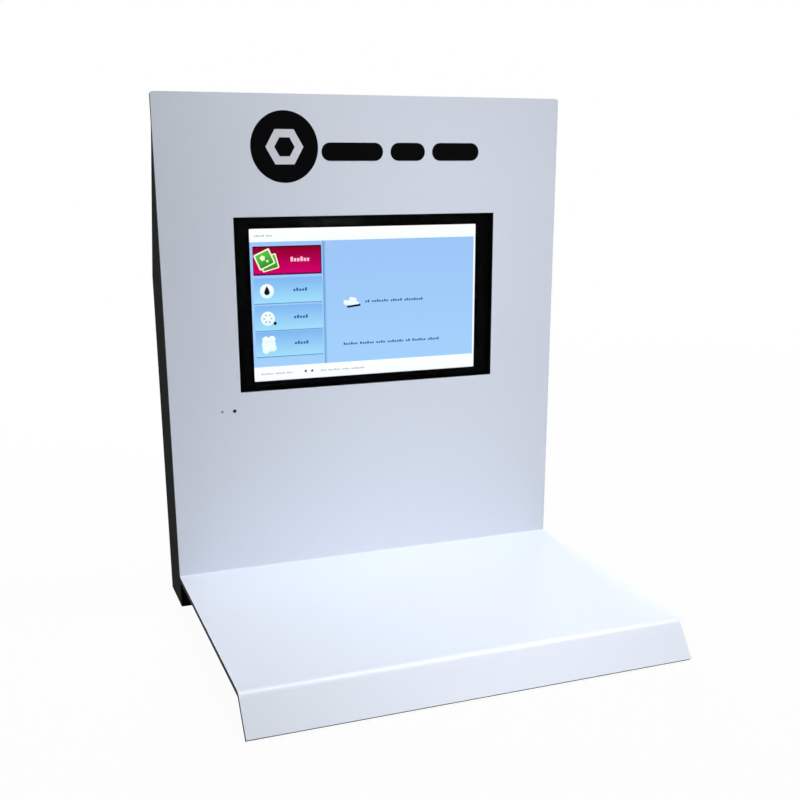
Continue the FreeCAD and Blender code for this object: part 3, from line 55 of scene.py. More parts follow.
# sizes of the thin films added here
LIT_FILM = 0.02 * MM              # one patch of the picture
LIT_STEP = 0.04 * MM              # from one layer of the picture to the next
VINYL = 0.08 * MM                 # cut vinyl over the display
PAD_PRINT = 0.04 * MM             # one layer of the signs on the rear panel

FRONT = Vector((0, -1, 0))
REAR = Vector((0, 1, 0))

face_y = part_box("lower_front_wall")[0].y
shelf_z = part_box("lower_front_wall")[1].z + SHEET
glass_low, glass_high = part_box("touch_glass")
module_low, module_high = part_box("display_module")
lit_low = Vector((module_low.x + SCREEN_MARGIN, 0, module_low.z + SCREEN_MARGIN))
lit_high = Vector((module_high.x - SCREEN_MARGIN, 0, module_high.z - SCREEN_MARGIN))
lit_width = lit_high.x - lit_low.x
lit_height = lit_high.z - lit_low.z


# ---------------------------------------------------------------- colour and node helpers

def linear(hex_colour, alpha=1.0):
    """An sRGB hex colour as the linear colour that a socket takes."""
    channels = [int(hex_colour[place:place + 2], 16) / 255 for place in (1, 3, 5)]
    return [c / 12.92 if c <= 0.04045 else ((c + 0.055) / 1.055) ** 2.4 for c in channels] + [alpha]


def add_node(tree, kind, inputs=None, **settings):
    """Adds a node. Each of inputs is a plain value or another node's output socket."""
    node = tree.nodes.new(kind)
    for name, value in settings.items():
        setattr(node, name, value)
    for name, value in (inputs or {}).items():
        if isinstance(value, bpy.types.NodeSocket):
            tree.links.new(value, node.inputs[name])
        else:
            node.inputs[name].default_value = value
    return node


def new_material(name, **values):
    """A material with a Principled shader set to plain values; returns it, its tree and shader."""
    material = bpy.data.materials.new(name)
    material.use_nodes = True
    tree = material.node_tree
    shader = tree.nodes["Principled BSDF"]
    for socket, value in values.items():
        shader.inputs[socket.replace("_", " ")].default_value = value
    return material, tree, shader


def object_place(tree, scale=(1, 1, 1)):
    """Object coordinates, stretched, as a vector output."""
    place = add_node(tree, "ShaderNodeTexCoord").outputs["Object"]
    return add_node(tree, "ShaderNodeMapping", {"Vector": place, "Scale": scale}).outputs["Vector"]


def noise(tree, grain, detail=2.0, scale=(1, 1, 1)):
    """Soft noise whose lumps are about one grain, in metres, across."""
    return add_node(tree, "ShaderNodeTexNoise", {
        "Vector": object_place(tree, scale), "Scale": 1 / grain, "Detail": detail}).outputs["Fac"]


def ramp(tree, value, stops):
    """Turns a value into colours; stops are (place, colour)."""
    node = add_node(tree, "ShaderNodeValToRGB", {"Fac": value})
    elements = node.color_ramp.elements
    elements[0].position, elements[0].color = stops[0]
    elements[1].position, elements[1].color = stops[-1]
    for place, colour in stops[1:-1]:
        elements.new(place).color = colour
    return node.outputs["Color"]


def spread(tree, value, low, high):
    """Maps a value from 0 to 1 on to a range."""
    node = add_node(tree, "ShaderNodeMapRange", {"Value": value, "To Min": low, "To Max": high})
    return node.outputs["Result"]


def bump(tree, shader, height, depth, strength=1.0):
    """Raises a surface by a height from 0 to 1, times a depth in metres."""
    node = add_node(tree, "ShaderNodeBump", {"Height": height, "Distance": depth, "Strength": strength})
    tree.links.new(node.outputs["Normal"], shader.inputs["Normal"])


def tint(tree, shader, value, stops):
    tree.links.new(ramp(tree, value, stops), shader.inputs["Base Color"])


def roughen(tree, shader, value, low, high):
    tree.links.new(spread(tree, value, low, high), shader.inputs["Roughness"])


# ---------------------------------------------------------------- materials

def white_laminate():
    """White gloss PVC film pressed on acrylic: cool near-white, with a slight orange peel."""
    material, tree, shader = new_material("gloss_pvc_laminate_white", IOR=1.52, Specular_IOR_Level=0.5)
    tint(tree, shader, noise(tree, 0.5 * MM, 1), [(0.3, linear("#E6EDF9")), (0.7, linear("#E9F0FB"))])
    roughen(tree, shader, noise(tree, 0.8 * MM, 1), 0.3, 0.36)
    bump(tree, shader, noise(tree, 3 * MM, 0), 0.003 * MM, 0.4)
    return material


def black_acrylic():
    """Matt-faced cast acrylic sheet: deep black with a faint sheen, wiping marks and a little dust."""
    material, tree, shader = new_material("cast_acrylic_black", IOR=1.49, Specular_IOR_Level=0.02)
    tint(tree, shader, noise(tree, 0.9 * MM, 0), [(0.0, linear("#0D0E10")), (0.74, linear("#101113")),
                                                   (0.82, linear("#1F2023"))])
    roughen(tree, shader, noise(tree, 24 * MM, 4, (1, 1, 3)), 0.7, 0.85)
    bump(tree, shader, noise(tree, 30 * MM, 1), 0.05 * MM, 0.5)
    return material


def sawn_acrylic():
    """The black core's sawn and scraped edges: duller than its face, with fine marks along the sheet."""
    material, tree, shader = new_material("cast_acrylic_black_sawn", IOR=1.49, Specular_IOR_Level=0.04)
    marks = noise(tree, 0.6 * MM, 2, (1, 0.08, 0.08))
    tint(tree, shader, marks, [(0.3, linear("#030304")), (0.8, linear("#0B0B0D"))])
    roughen(tree, shader, marks, 0.5, 0.7)
    bump(tree, shader, marks, 0.03 * MM, 0.5)
    return material


def moulded_rubber():
    """Moulded rubber: near black, matt, with a fine grain."""
    material, tree, shader = new_material("moulded_rubber_black", IOR=1.5, Roughness=0.82)
    grain = noise(tree, 0.8 * MM, 3)
    tint(tree, shader, grain, [(0.3, linear("#141414")), (0.8, linear("#242424"))])
    bump(tree, shader, grain, 0.06 * MM)
    return material


def foam_tape():
    """Closed-cell foam: small round cells, dull black."""
    material, tree, shader = new_material("closed_cell_foam_black", IOR=1.4, Roughness=0.95)
    cells = add_node(tree, "ShaderNodeTexVoronoi", {"Vector": object_place(tree), "Scale": 1 / (0.7 * MM)})
    tint(tree, shader, cells.outputs["Distance"], [(0.1, linear("#0C0C0C")), (0.6, linear("#1E1E1E"))])
    bump(tree, shader, cells.outputs["Distance"], 0.1 * MM)
    return material


def clear_glass():
    """Toughened cover glass with an anti-reflection coat, which its low IOR stands for: clear and flat."""
    material, tree, shader = new_material("toughened_glass_coated", Base_Color=linear("#FBFDFC"), IOR=1.05,
                                          Transmission_Weight=1.0)
    roughen(tree, shader, noise(tree, 40 * MM, 3), 0.0, 0.025)
    return material


def black_ink():
    """Screen-printed black enamel on the back of the glass."""
    material, tree, shader = new_material("screen_print_black", IOR=1.45, Specular_IOR_Level=0.01)
    grain = noise(tree, 0.5 * MM, 2)
    tint(tree, shader, grain, [(0.3, linear("#020203")), (0.9, linear("#050507"))])
    roughen(tree, shader, grain, 0.55, 0.7)
    return material


def cut_vinyl(name, dark, light):
    """Cut vinyl film of one colour, dull, with the faint pebble of its adhesive showing through."""
    material, tree, shader = new_material(name, IOR=1.5, Specular_IOR_Level=0.02)
    pebble = noise(tree, 1.6 * MM, 2)
    tint(tree, shader, pebble, [(0.3, linear(dark)), (0.8, linear(light))])
    roughen(tree, shader, pebble, 0.5, 0.62)
    bump(tree, shader, pebble, 0.01 * MM, 0.5)
    return material


def zinc_steel(name, dark, light, roughness):
    """Zinc-plated steel: soft grey with a faint crystalline mottle and fine rolling lines."""
    material, tree, shader = new_material(name, Metallic=1.0)
    mottle = add_node(tree, "ShaderNodeTexVoronoi", {"Vector": object_place(tree), "Scale": 1 / (3.5 * MM)})
    tint(tree, shader, mottle.outputs["Color"], [(0.2, linear(dark)), (0.8, linear(light))])
    lines = noise(tree, 0.7 * MM, 2, (0.05, 1, 1))
    roughen(tree, shader, lines, roughness - 0.06, roughness + 0.1)
    bump(tree, shader, lines, 0.01 * MM, 0.5)
    return material


def clear_acrylic():
    """Clear acrylic blocks with saw-frosted sides."""
    material, tree, shader = new_material("cast_acrylic_clear", Base_Color=linear("#EAF2F4"), IOR=1.49,
                                          Transmission_Weight=0.9)
    roughen(tree, shader, noise(tree, 0.8 * MM, 3, (1, 0.2, 1)), 0.15, 0.4)
    return material


def circuit_board():
    """Solder mask over copper: deep green, lighter where the tracks run under it."""
    material, tree, shader = new_material("solder_mask_green", IOR=1.5, Coat_Weight=0.3,
                                          Coat_Roughness=0.15)
    place = add_node(tree, "ShaderNodeTexCoord").outputs["Object"]
    upright = add_node(tree, "ShaderNodeMapping", {"Vector": place, "Rotation": (math.pi / 2, 0, 0)})
    tracks = add_node(tree, "ShaderNodeTexBrick", {
        "Vector": upright.outputs["Vector"], "Scale": 1 / (5 * MM), "Mortar Size": 0.06,
        "Mortar Smooth": 0.2, "Brick Width": 2.7, "Row Height": 0.36, "Color1": linear("#0A3B1E"),
        "Color2": linear("#0C4423"), "Mortar": linear("#1E6A3A")}, offset=0.37, squash=0.6, squash_frequency=3)
    tree.links.new(tracks.outputs["Color"], shader.inputs["Base Color"])
    roughen(tree, shader, tracks.outputs["Fac"], 0.34, 0.24)
    bump(tree, shader, tracks.outputs["Fac"], 0.03 * MM)
    return material


def turned_brass():
    """Bar-turned brass with fine tool rings."""
    material, tree, shader = new_material("turned_brass", Metallic=1.0)
    rings = noise(tree, 0.4 * MM, 1, (0.1, 1, 0.1))
    tint(tree, shader, rings, [(0.2, linear("#B08A3C")), (0.8, linear("#D9B765"))])
    roughen(tree, shader, rings, 0.2, 0.34)
    bump(tree, shader, rings, 0.02 * MM)
    return material


def anodised_aluminium():
    """Black anodised extrusion: dark satin metal with die lines along its fins."""
    material, tree, shader = new_material("anodised_aluminium_black", Metallic=1.0)
    lines = noise(tree, 0.5 * MM, 2, (1, 1, 0.04))
    tint(tree, shader, lines, [(0.2, linear("#26272B")), (0.8, linear("#3A3B40"))])
    roughen(tree, shader, lines, 0.38, 0.55)
    bump(tree, shader, lines, 0.02 * MM)
    return material


def moulded_plastic(name, dark, light, grain=0.45 * MM, roughness=0.5, depth=0.03 * MM):
    """Injection-moulded plastic with a spark-eroded grain."""
    material, tree, shader = new_material(name, IOR=1.5, Specular_IOR_Level=0.45)
    pebble = noise(tree, grain, 3)
    tint(tree, shader, pebble, [(0.25, linear(dark)), (0.85, linear(light))])
    roughen(tree, shader, pebble, roughness - 0.07, roughness + 0.1)
    bump(tree, shader, pebble, depth)
    return material


def tinted_lens(name, colour, edge, transmission):
    """Moulded lens plastic, coloured through and polished."""
    material, tree, shader = new_material(name, IOR=1.49, Transmission_Weight=transmission)
    tint(tree, shader, noise(tree, 1.5 * MM, 1), [(0.3, linear(colour)), (0.9, linear(edge))])
    roughen(tree, shader, noise(tree, 0.8 * MM, 2), 0.05, 0.14)
    return material


def paper_cone():
    """Pressed paper of the speaker cones: black fibres, matt."""
    material, tree, shader = new_material("pressed_paper_black", IOR=1.45, Roughness=0.88)
    fibres = noise(tree, 0.9 * MM, 6)
    tint(tree, shader, fibres, [(0.3, linear("#121213")), (0.8, linear("#2A2A2C"))])
    bump(tree, shader, fibres, 0.12 * MM)
    return material


def polyimide_film():
    """Flat flexible cable: amber film over straight copper strands."""
    material, tree, shader = new_material("polyimide_film", IOR=1.6, Roughness=0.3)
    place = add_node(tree, "ShaderNodeTexCoord").outputs["Object"]
    strands = add_node(tree, "ShaderNodeTexWave", {"Vector": place, "Scale": 1 / (1.6 * MM) / math.tau},
                       bands_direction="X")
    tint(tree, shader, strands.outputs["Fac"], [(0.35, linear("#8A5A1E")), (0.65, linear("#C98F3C"))])
    bump(tree, shader, strands.outputs["Fac"], 0.03 * MM)
    return material


def lit_picture(name, top, bottom, strength=1.05):
    """A lit patch of the display: its colour runs from its top edge to its bottom edge."""
    material, tree, shader = new_material(name, Base_Color=linear("#020203"), Roughness=0.5,
                                          Specular_IOR_Level=0.0, Emission_Strength=strength)
    place = add_node(tree, "ShaderNodeTexCoord").outputs["UV"]
    up = add_node(tree, "ShaderNodeSeparateXYZ", {"Vector": place}).outputs["Y"]
    colour = ramp(tree, up, [(0.0, linear(bottom)), (1.0, linear(top))])
    tree.links.new(colour, shader.inputs["Emission Color"])
    return material


acrylic = black_acrylic()
black_plastic = moulded_plastic("moulded_abs_black", "#0E0E10", "#19191C")
nylon = moulded_plastic("moulded_nylon_natural", "#CFC9BA", "#DDD8CB", roughness=0.42)
epoxy = moulded_plastic("moulded_epoxy_black", "#141518", "#222327", roughness=0.6)
zinc = zinc_steel("zinc_plated_steel", "#A9ACAF", "#C9CCCE", 0.34)
screw_steel = zinc_steel("blackened_screw_steel", "#3A3B3E", "#55565A", 0.36)
boards = circuit_board()
insulation = moulded_plastic("flexible_pvc_black", "#101012", "#1A1A1D", grain=1.2 * MM, roughness=0.45)

NODE_MATERIALS = {
    "front_sheet": sawn_acrylic(), "face_laminate": white_laminate(), "lower_front_wall": acrylic,
    "side_panel_left": acrylic, "side_panel_right": acrylic, "back_wrap": acrylic, "base_plate": acrylic,
    "service_door": acrylic, "corner_strips": acrylic, "lock_strike": acrylic,
    "rubber_feet": moulded_rubber(), "glass_gasket": foam_tape(),
    "module_tray": zinc, "upper_frame_leaf": zinc, "upper_door_leaf": zinc, "lower_frame_leaf": zinc,
    "lower_door_leaf": zinc, "upper_hinge_pin": zinc, "lower_hinge_pin": zinc, "lock_barrel": zinc,
    "lock_nut": zinc, "lock_plug": zinc, "lock_cam": zinc, "data_port": zinc,
    "inner_screws": screw_steel, "back_screws": screw_steel, "door_screws": screw_steel,
    "lock_cam_screw": screw_steel, "mount_blocks": clear_acrylic(),
    "player_board": boards, "sensor_board": boards, "input_board": boards,
    "board_spacers": turned_brass(), "processor_heat_sink": anodised_aluminium(),
    "board_chips": epoxy, "tact_switches": epoxy, "card_socket": epoxy,
    "board_sockets": nylon, "input_posts": nylon, "sensor_posts": nylon,
    "remote_receiver": tinted_lens("infrared_lens_dark", "#12060C", "#1E0D16", 0.3),
    "status_indicator": tinted_lens("indicator_lens_clear", "#DCE6F2", "#F2F6FA", 0.5),
    "input_panel": black_plastic, "power_inlet": black_plastic, "switch_housing": black_plastic,
    "power_rocker": black_plastic,
    "power_leads": insulation, "signal_leads": insulation, "speaker_leads": insulation,
    "display_ribbon": polyimide_film(),
}
for key in ("power", "menu", "up", "down", "enter"):
    NODE_MATERIALS["key_" + key] = moulded_plastic("moulded_key_grey_" + key, "#4A4C50", "#5C5E63",
                                                   roughness=0.4)


def dress_nodes():
    """Gives each CAD node that stays in view its own finish."""
    for name, material in NODE_MATERIALS.items():
        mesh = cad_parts[name].data
        mesh.materials.clear()
        mesh.materials.append(material)


# ---------------------------------------------------------------- modelling helpers

def deselect():
    if bpy.context.object and bpy.context.object.mode != "OBJECT":
        bpy.ops.object.mode_set(mode="OBJECT")
    bpy.ops.object.select_all(action="DESELECT")


def activate(*pieces):
    """Selects only these pieces; the last one is active."""
    deselect()
    for piece in pieces:
        piece.select_set(True)
    bpy.context.view_layer.objects.active = pieces[-1]


def settled(name):
    """Names the new piece and puts its place, turn and size into its mesh."""
    piece = bpy.context.object
    piece.name = piece.data.name = name
    bpy.ops.object.transform_apply(location=True, rotation=True, scale=True)
    return piece


def add_box(name, low, high):
    """A box between two corners."""
    deselect()
    low, high = Vector(low), Vector(high)
    bpy.ops.mesh.primitive_cube_add(size=1, location=(low + high) / 2, scale=high - low)
    return settled(name)


def pick_faces(piece, wanted):
    """Opens a piece for editing with only the faces selected whose centre and normal are wanted."""
    activate(piece)
    mesh = piece.data
    for part in (mesh.vertices, mesh.edges):
        part.foreach_set("select", [False] * len(part))
    for face in mesh.polygons:
        face.select = wanted(face.center, face.normal)
    bpy.context.tool_settings.mesh_select_mode = (False, False, True)
    bpy.ops.object.mode_set(mode="EDIT")


def applied(piece, kind, **settings):
    """Adds a modifier and applies it."""
    activate(piece)
    modifier = piece.modifiers.new(kind.title(), kind)
    for name, value in settings.items():
        setattr(modifier, name, value)
    bpy.ops.object.modifier_apply(modifier=modifier.name)
    return piece


def bevelled(piece, width, segments=2):
    """Rounds every sharp edge of a piece."""
    return applied(piece, "BEVEL", width=width, segments=segments, limit_method="ANGLE",
                   angle_limit=math.radians(30), harden_normals=False)


def joined(name, pieces):
    """Makes one piece of several and names it."""
    activate(*pieces)
    if len(pieces) > 1:
        bpy.ops.object.join()
    piece = bpy.context.object
    piece.name = piece.data.name = name
    return piece


def painted(piece, material):
    piece.data.materials.clear()
    piece.data.materials.append(material)
    return piece


def copied(piece, shift):
    """A copy of a piece with its own mesh, moved by a vector."""
    twin = piece.copy()
    twin.data = piece.data.copy()
    bpy.context.scene.collection.objects.link(twin)
    twin.data.transform(Matrix.Translation(shift))
    return twin


def present(piece, body=KIOSK, replaces=()):
    """Shades a finished piece, hangs it on its body and hides the nodes it stands for."""
    activate(piece)
    bpy.ops.object.shade_smooth_by_angle(angle=math.radians(35))
    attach(piece, body)
    if replaces:
        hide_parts(*replaces)
    return piece


def film(name, centre, width, height, rounding, thickness, material, turn=0.0, facing=FRONT):
    """A thin upright plate with rounded corners; its front is at the centre."""
    deselect()
    bpy.ops.mesh.primitive_plane_add(size=1)
    piece = settled(name)
    piece.data.transform(Matrix.Diagonal((width, height, 1, 1)))
    if rounding > 0:
        bpy.ops.object.mode_set(mode="EDIT")
        bpy.ops.mesh.select_all(action="SELECT")
        bpy.ops.mesh.bevel(offset=rounding, segments=5, affect="VERTICES")
    return hung(piece, centre, thickness, material, turn, facing)


def disc(name, centre, radius, thickness, material, corners=40, turn=0.0, facing=FRONT):
    """A thin upright disc, or a plate with few corners; its front is at the centre."""
    deselect()
    bpy.ops.mesh.primitive_circle_add(vertices=corners, radius=radius, fill_type="NGON")
    return hung(settled(name), centre, thickness, material, turn, facing)


def hung(piece, centre, thickness, material, turn, facing):
    """Thickens a flat piece and hangs it with its front at a point."""
    applied(piece, "SOLIDIFY", thickness=thickness, offset=-1)
    return painted(faced(piece, centre, facing, turn), material)


def faced(piece, centre, facing, turn=0.0):
    """Moves a piece to a point, its own +Z along a direction, after a turn about that axis."""
    swing = Vector(facing).to_track_quat("Z", "Y").to_matrix().to_4x4()
    piece.data.transform(Matrix.Translation(centre) @ swing @ Matrix.Rotation(turn, 4, "Z"))
    return piece


def turned(name, profile, material, corners=48):
    """A turned solid: a disc drawn out along +Z through steps of radius and height."""
    deselect()
    radius, height = profile[0]
    bpy.ops.mesh.primitive_circle_add(vertices=corners, radius=radius, fill_type="NGON",
                                      location=(0, 0, height))
    piece = settled(name)
    bpy.ops.object.mode_set(mode="EDIT")
    bpy.ops.mesh.select_all(action="SELECT")
    for wide, high in profile[1:]:
        bpy.ops.mesh.extrude_region_move(TRANSFORM_OT_translate={"value": (0, 0, high - height)})
        bpy.ops.transform.resize(value=(wide / radius, wide / radius, 1))
        radius, height = wide, high
    bpy.ops.mesh.select_all(action="SELECT")
    bpy.ops.mesh.normals_make_consistent(inside=False)
    bpy.ops.object.mode_set(mode="OBJECT")
    return painted(piece, material)


# ---------------------------------------------------------------- the display

def touch_screen():
    """The touch glass with ground edges, and the black border printed on its back."""
    glass = bevelled(add_box("screen_glass", glass_low, glass_high), 0.35 * MM)
    present(painted(glass, clear_glass()), replaces=["touch_glass"])

    ink_gap, ink_thickness = 0.02 * MM, 0.08 * MM
    ink_y = glass_high.y + ink_gap
    border = add_box("screen_border", (glass_low.x, ink_y, glass_low.z),
                     (glass_high.x, ink_y + ink_thickness, glass_high.z))
    opening = add_box("border_opening", (lit_low.x, ink_y - MM, lit_low.z),
                      (lit_high.x, ink_y + MM, lit_high.z))
    bevelled(opening, 1.0 * MM, 3)
    applied(border, "BOOLEAN", object=opening, operation="DIFFERENCE", solver="EXACT")
    bpy.data.objects.remove(opening)
    present(painted(border, black_ink()))


def display_case():
    """The display module: a pressed steel case with a turned rim and a stepped back."""
    case = add_box("display_case", (module_low.x, module_low.y + 0.15 * MM, module_low.z), module_high)
    rim = 3.0 * MM
    pick_faces(case, lambda centre, normal: normal.y < -0.9)
    bpy.ops.mesh.inset(thickness=rim)
    bpy.ops.transform.translate(value=(0, 0.4 * MM, 0))
    bpy.ops.object.mode_set(mode="OBJECT")
    pick_faces(case, lambda centre, normal: normal.y > 0.9)
    bpy.ops.mesh.inset(thickness=9 * MM)
    bpy.ops.transform.translate(value=(0, -0.5 * MM, 0))
    bpy.ops.mesh.inset(thickness=14 * MM)
    bpy.ops.transform.translate(value=(0, 0.5 * MM, 0))
    bevelled(case, 0.3 * MM)
    painted(case, zinc)
    present(case, replaces=["display_module"])


def on_screen(across, down, level):
    """A point of the lit area from shares of its width and height, at a layer in front of the module."""
    return Vector((lit_low.x + across * lit_width,
                   module_low.y + 0.12 * MM - level * LIT_STEP,
                   lit_high.z - down * lit_height))


def patch(left, top, right, bottom, level, rounding, material, turn=0.0):
    """A lit patch of the picture between shares of the lit area."""
    centre = on_screen((left + right) / 2, (top + bottom) / 2, level)
    return film("patch", centre, (right - left) * lit_width, (bottom - top) * lit_height,
                rounding, LIT_FILM, material, turn)


def spot(across, down, radius, level, material, corners=28, turn=0.0):
    """A lit round or few-cornered patch of the picture."""
    return disc("spot", on_screen(across, down, level), radius, LIT_FILM, material, corners, turn)


def words(left, down, height, level, material, lengths, pitch=2.35 * MM):
    """A line of plain strokes in groups, as small print looks from a distance."""
    low, right = down + height / 2, left + 0.72 * pitch / lit_width
    tall, short = [patch(left, low - share * height, right, low, level, 0, material)
                   for share in (1.0, 0.68)]
    strokes, steps = [], 0.0
    for length in lengths:
        for place in range(length):
            model = tall if (place + length) % 3 == 0 else short
            strokes.append(copied(model, Vector((steps * pitch, 0, 0))))
            steps += 1
        steps += 0.8
    for model in (tall, short):
        bpy.data.objects.remove(model)
    return strokes


def picture():
    """A plain menu: four tiles down the left side, a message pane, and a bar above and below."""
    white = lit_picture("display_white", "#FFFFFF", "#F6FAFD")
    pane_blue = lit_picture("display_pane_blue", "#9CC2F4", "#A4D0FB")
    tile_blue = lit_picture("display_tile_blue", "#80B4F0", "#A2DEFA")
    crimson = lit_picture("display_tile_crimson", "#8A0022", "#D6006A")
    plum = lit_picture("display_tile_edge", "#3A0528", "#5A0C4C")
    deep_blue = lit_picture("display_divider_blue", "#5A8CC4", "#659BD0")
    pale_blue = lit_picture("display_pane_edge", "#82B0E4", "#86BCEC")
    ink_blue = lit_picture("display_ink_blue", "#35609E", "#3C68A6", 0.95)
    navy = lit_picture("display_navy", "#0C1A2C", "#12243A", 0.8)
    grey = lit_picture("display_grey", "#B4C0CA", "#BEC8D0", 0.95)
    cyan_white = lit_picture("display_icon_white", "#FFFFFF", "#DDF6FC")
    green = lit_picture("display_icon_green", "#5CC43E", "#2C8E2A")
    cream = lit_picture("display_icon_cream", "#FBFBE0", "#F2F4CC")
    rose = lit_picture("display_label_rose", "#FFD2E2", "#FFB4CE")

    tile_left, tile_right = 0.012, 0.302
    top_bar, bottom_bar = 0.085, 0.905
    background = [patch(0, 0, 1, 1, 0, 0, pane_blue),
                  patch(0, 0, 1, top_bar, 1, 0, white),
                  patch(0, bottom_bar, 1, 1, 1, 0, white),
                  patch(tile_right + 0.006, top_bar, tile_right + 0.0095, bottom_bar, 1, 0, deep_blue),
                  patch(tile_right + 0.0095, top_bar, tile_right + 0.016, bottom_bar, 1, 0, pale_blue),
                  patch(0.992, 0, 1, 1, 2, 0, white)]
    tiles = [patch(tile_left, 0.112, tile_right, 0.3, 1, 0.8 * MM, plum),
             patch(tile_left + 0.003, 0.12, tile_right - 0.005, 0.288, 2, 0.8 * MM, crimson)]
    tile_tops = (0.318, 0.498, 0.672)
    for top in tile_tops:
        tiles.append(patch(tile_left, top, tile_right, top + 0.168, 1, 0.8 * MM, tile_blue))
        tiles.append(patch(tile_left, top + 0.164, tile_right, top + 0.17, 2, 0, deep_blue))
    label_x = 0.17
    labels = words(label_x, 0.2, 0.03, 4, rose, (6,), 3.0 * MM)
    for top in tile_tops:
        labels += words(label_x + 0.008, top + 0.08, 0.022, 3, ink_blue, (5,), 2.7 * MM)

    icon_x = 0.066
    icons = [patch(icon_x - 0.022, 0.17, icon_x + 0.05, 0.268, 3, 1.0 * MM, cream, math.radians(14)),
             patch(icon_x - 0.017, 0.177, icon_x + 0.045, 0.261, 4, 0.8 * MM, green, math.radians(14)),
             patch(icon_x - 0.042, 0.142, icon_x + 0.03, 0.25, 5, 1.0 * MM, cream, math.radians(24)),
             patch(icon_x - 0.036, 0.151, icon_x + 0.024, 0.241, 6, 0.8 * MM, green, math.radians(24)),
             spot(icon_x - 0.014, 0.188, 2.6 * MM, 7, cream, 5, turn=0.3),
             spot(icon_x + 0.006, 0.207, 1.6 * MM, 7, cream, 3, turn=1.0)]
    radius = 6.4 * MM
    for count, top in enumerate(tile_tops):
        icons.append(spot(icon_x, top + 0.085, radius, 3, cyan_white))
        if count == 0:
            icons += [spot(icon_x, top + 0.092, 2.5 * MM, 4, navy),
                      spot(icon_x, top + 0.068, 2.4 * MM, 4, navy, 3)]
        elif count == 1:
            for step in range(6):
                angle = step * math.pi / 3
                icons.append(spot(icon_x + 0.016 * math.cos(angle), top + 0.085 + 0.026 * math.sin(angle),
                                  0.9 * MM, 4, grey, 12))
            icons.append(spot(icon_x + 0.03, top + 0.118, 1.5 * MM, 5, navy, 16))
        else:
            icons += [spot(icon_x + across, top + down, 3.2 * MM, 4, cyan_white)
                      for across, down in ((-0.012, 0.122), (0.018, 0.108), (0.014, 0.05), (-0.012, 0.052))]
    icons += [patch(0.395, 0.49, 0.462, 0.522, 3, 1.2 * MM, cyan_white, math.radians(-8)),
              patch(0.42, 0.468, 0.452, 0.5, 4, 0.9 * MM, cyan_white, math.radians(-14)),
              patch(0.41, 0.518, 0.47, 0.532, 5, 0.6 * MM, navy, math.radians(6))]

    text = words(0.492, 0.497, 0.017, 3, ink_blue, (2, 7, 5, 8))
    text += words(0.392, 0.78, 0.017, 3, ink_blue, (6, 6, 4, 7, 2, 6, 5))
    text += words(0.02, 0.045, 0.012, 3, grey, (5, 3), 1.9 * MM)
    text += words(0.03, 0.952, 0.012, 3, grey, (6, 5, 3), 1.9 * MM)
    text += words(0.29, 0.952, 0.012, 3, grey, (3, 6, 4, 7), 1.9 * MM)
    for across, turn in ((0.222, math.pi / 2), (0.25, 0.0)):
        text.append(spot(across, 0.95, 1.7 * MM, 4, navy, 3, turn))
    for name, parts in (("picture_background", background), ("picture_tiles", tiles),
                        ("picture_labels", labels), ("picture_icons", icons), ("picture_text", text)):
        present(joined(name, parts))


# ---------------------------------------------------------------- the graphic above the display

def header_graphic():
    """A plain badge and a row of plain bars in cut vinyl, where a name would go."""
    black_vinyl = cut_vinyl("cut_vinyl_black", "#040405", "#08090B")
    white_vinyl = cut_vinyl("cut_vinyl_white", "#E9EDF4", "#F2F5FA")
    badge_radius, badge_rise = 30 * MM, 380 * MM
    bar_height, bar_rounding, bar_gap = 15.5 * MM, 7.6 * MM, 7 * MM
    badge = Vector((-76 * MM, face_y - VINYL, shelf_z + badge_rise))
    over = Vector((0, -VINYL, 0))
    shapes = [disc("badge", badge, badge_radius, VINYL, black_vinyl, 72)]
    for layer, share, material in ((1, 0.56, white_vinyl), (2, 0.3, black_vinyl)):
        shapes.append(disc("badge_hexagon", badge + layer * over, badge_radius * share, VINYL, material, 6,
                           math.radians(30)))
    left = badge.x + 33 * MM
    for length in (57 * MM, 33 * MM, 46 * MM):
        centre = (left + length / 2, badge.y, badge.z - 4 * MM)
        shapes.append(film("bar", centre, length, bar_height, bar_rounding, VINYL, black_vinyl))
        left += length + bar_gap
    present(joined("header_graphic", shapes))


# ---------------------------------------------------------------- the rear and the inside

def speakers():
    """Two small drivers behind their grilles: magnet, basket, paper cone, roll surround and dust cap."""
    ferrite = moulded_plastic("sintered_ferrite_grey", "#2B2C2F", "#3A3B3F", grain=0.3 * MM, roughness=0.6)
    paper = paper_cone()
    rubber = NODE_MATERIALS["rubber_feet"]
    low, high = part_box("speaker_left")
    seat = Vector(((low.x + high.x) / 2, low.y, (low.z + high.z) / 2))
    shapes = []
    for name, material, steps in (
            ("magnet", ferrite, ((10.0, 0.6), (11.0, 1.2), (11.0, 5.4), (10.2, 6.0))),
            ("back_plate", zinc, ((8.0, 0.0), (9.4, 0.3), (9.4, 0.8), (8.4, 1.0))),
            ("basket", black_plastic, ((8.6, 5.8), (9.4, 6.6), (12.6, 12.6), (14.0, 15.0), (20.0, 15.2),
                                       (20.0, 16.6), (19.6, 17.0), (16.4, 17.0), (15.8, 16.0))),
            ("surround", rubber, ((15.9, 15.6), (15.8, 16.2), (15.0, 16.8), (14.0, 16.7), (13.2, 15.8))),
            ("cone", paper, ((13.3, 15.4), (13.2, 15.9), (9.0, 12.9), (5.6, 11.2))),
            ("dust_cap", paper, ((5.7, 10.6), (5.6, 11.4), (5.0, 12.5), (3.8, 13.3), (2.0, 13.8)))):
        profile = [(radius * MM, height * MM) for radius, height in steps]
        shapes.append(faced(turned(name, profile, material), seat, REAR))
    left = joined("driver_left", shapes)
    right = copied(left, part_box("speaker_right")[0] - low)
    right.name = right.data.name = "driver_right"
    present(left, replaces=["speaker_left"])
    present(right, replaces=["speaker_right"])


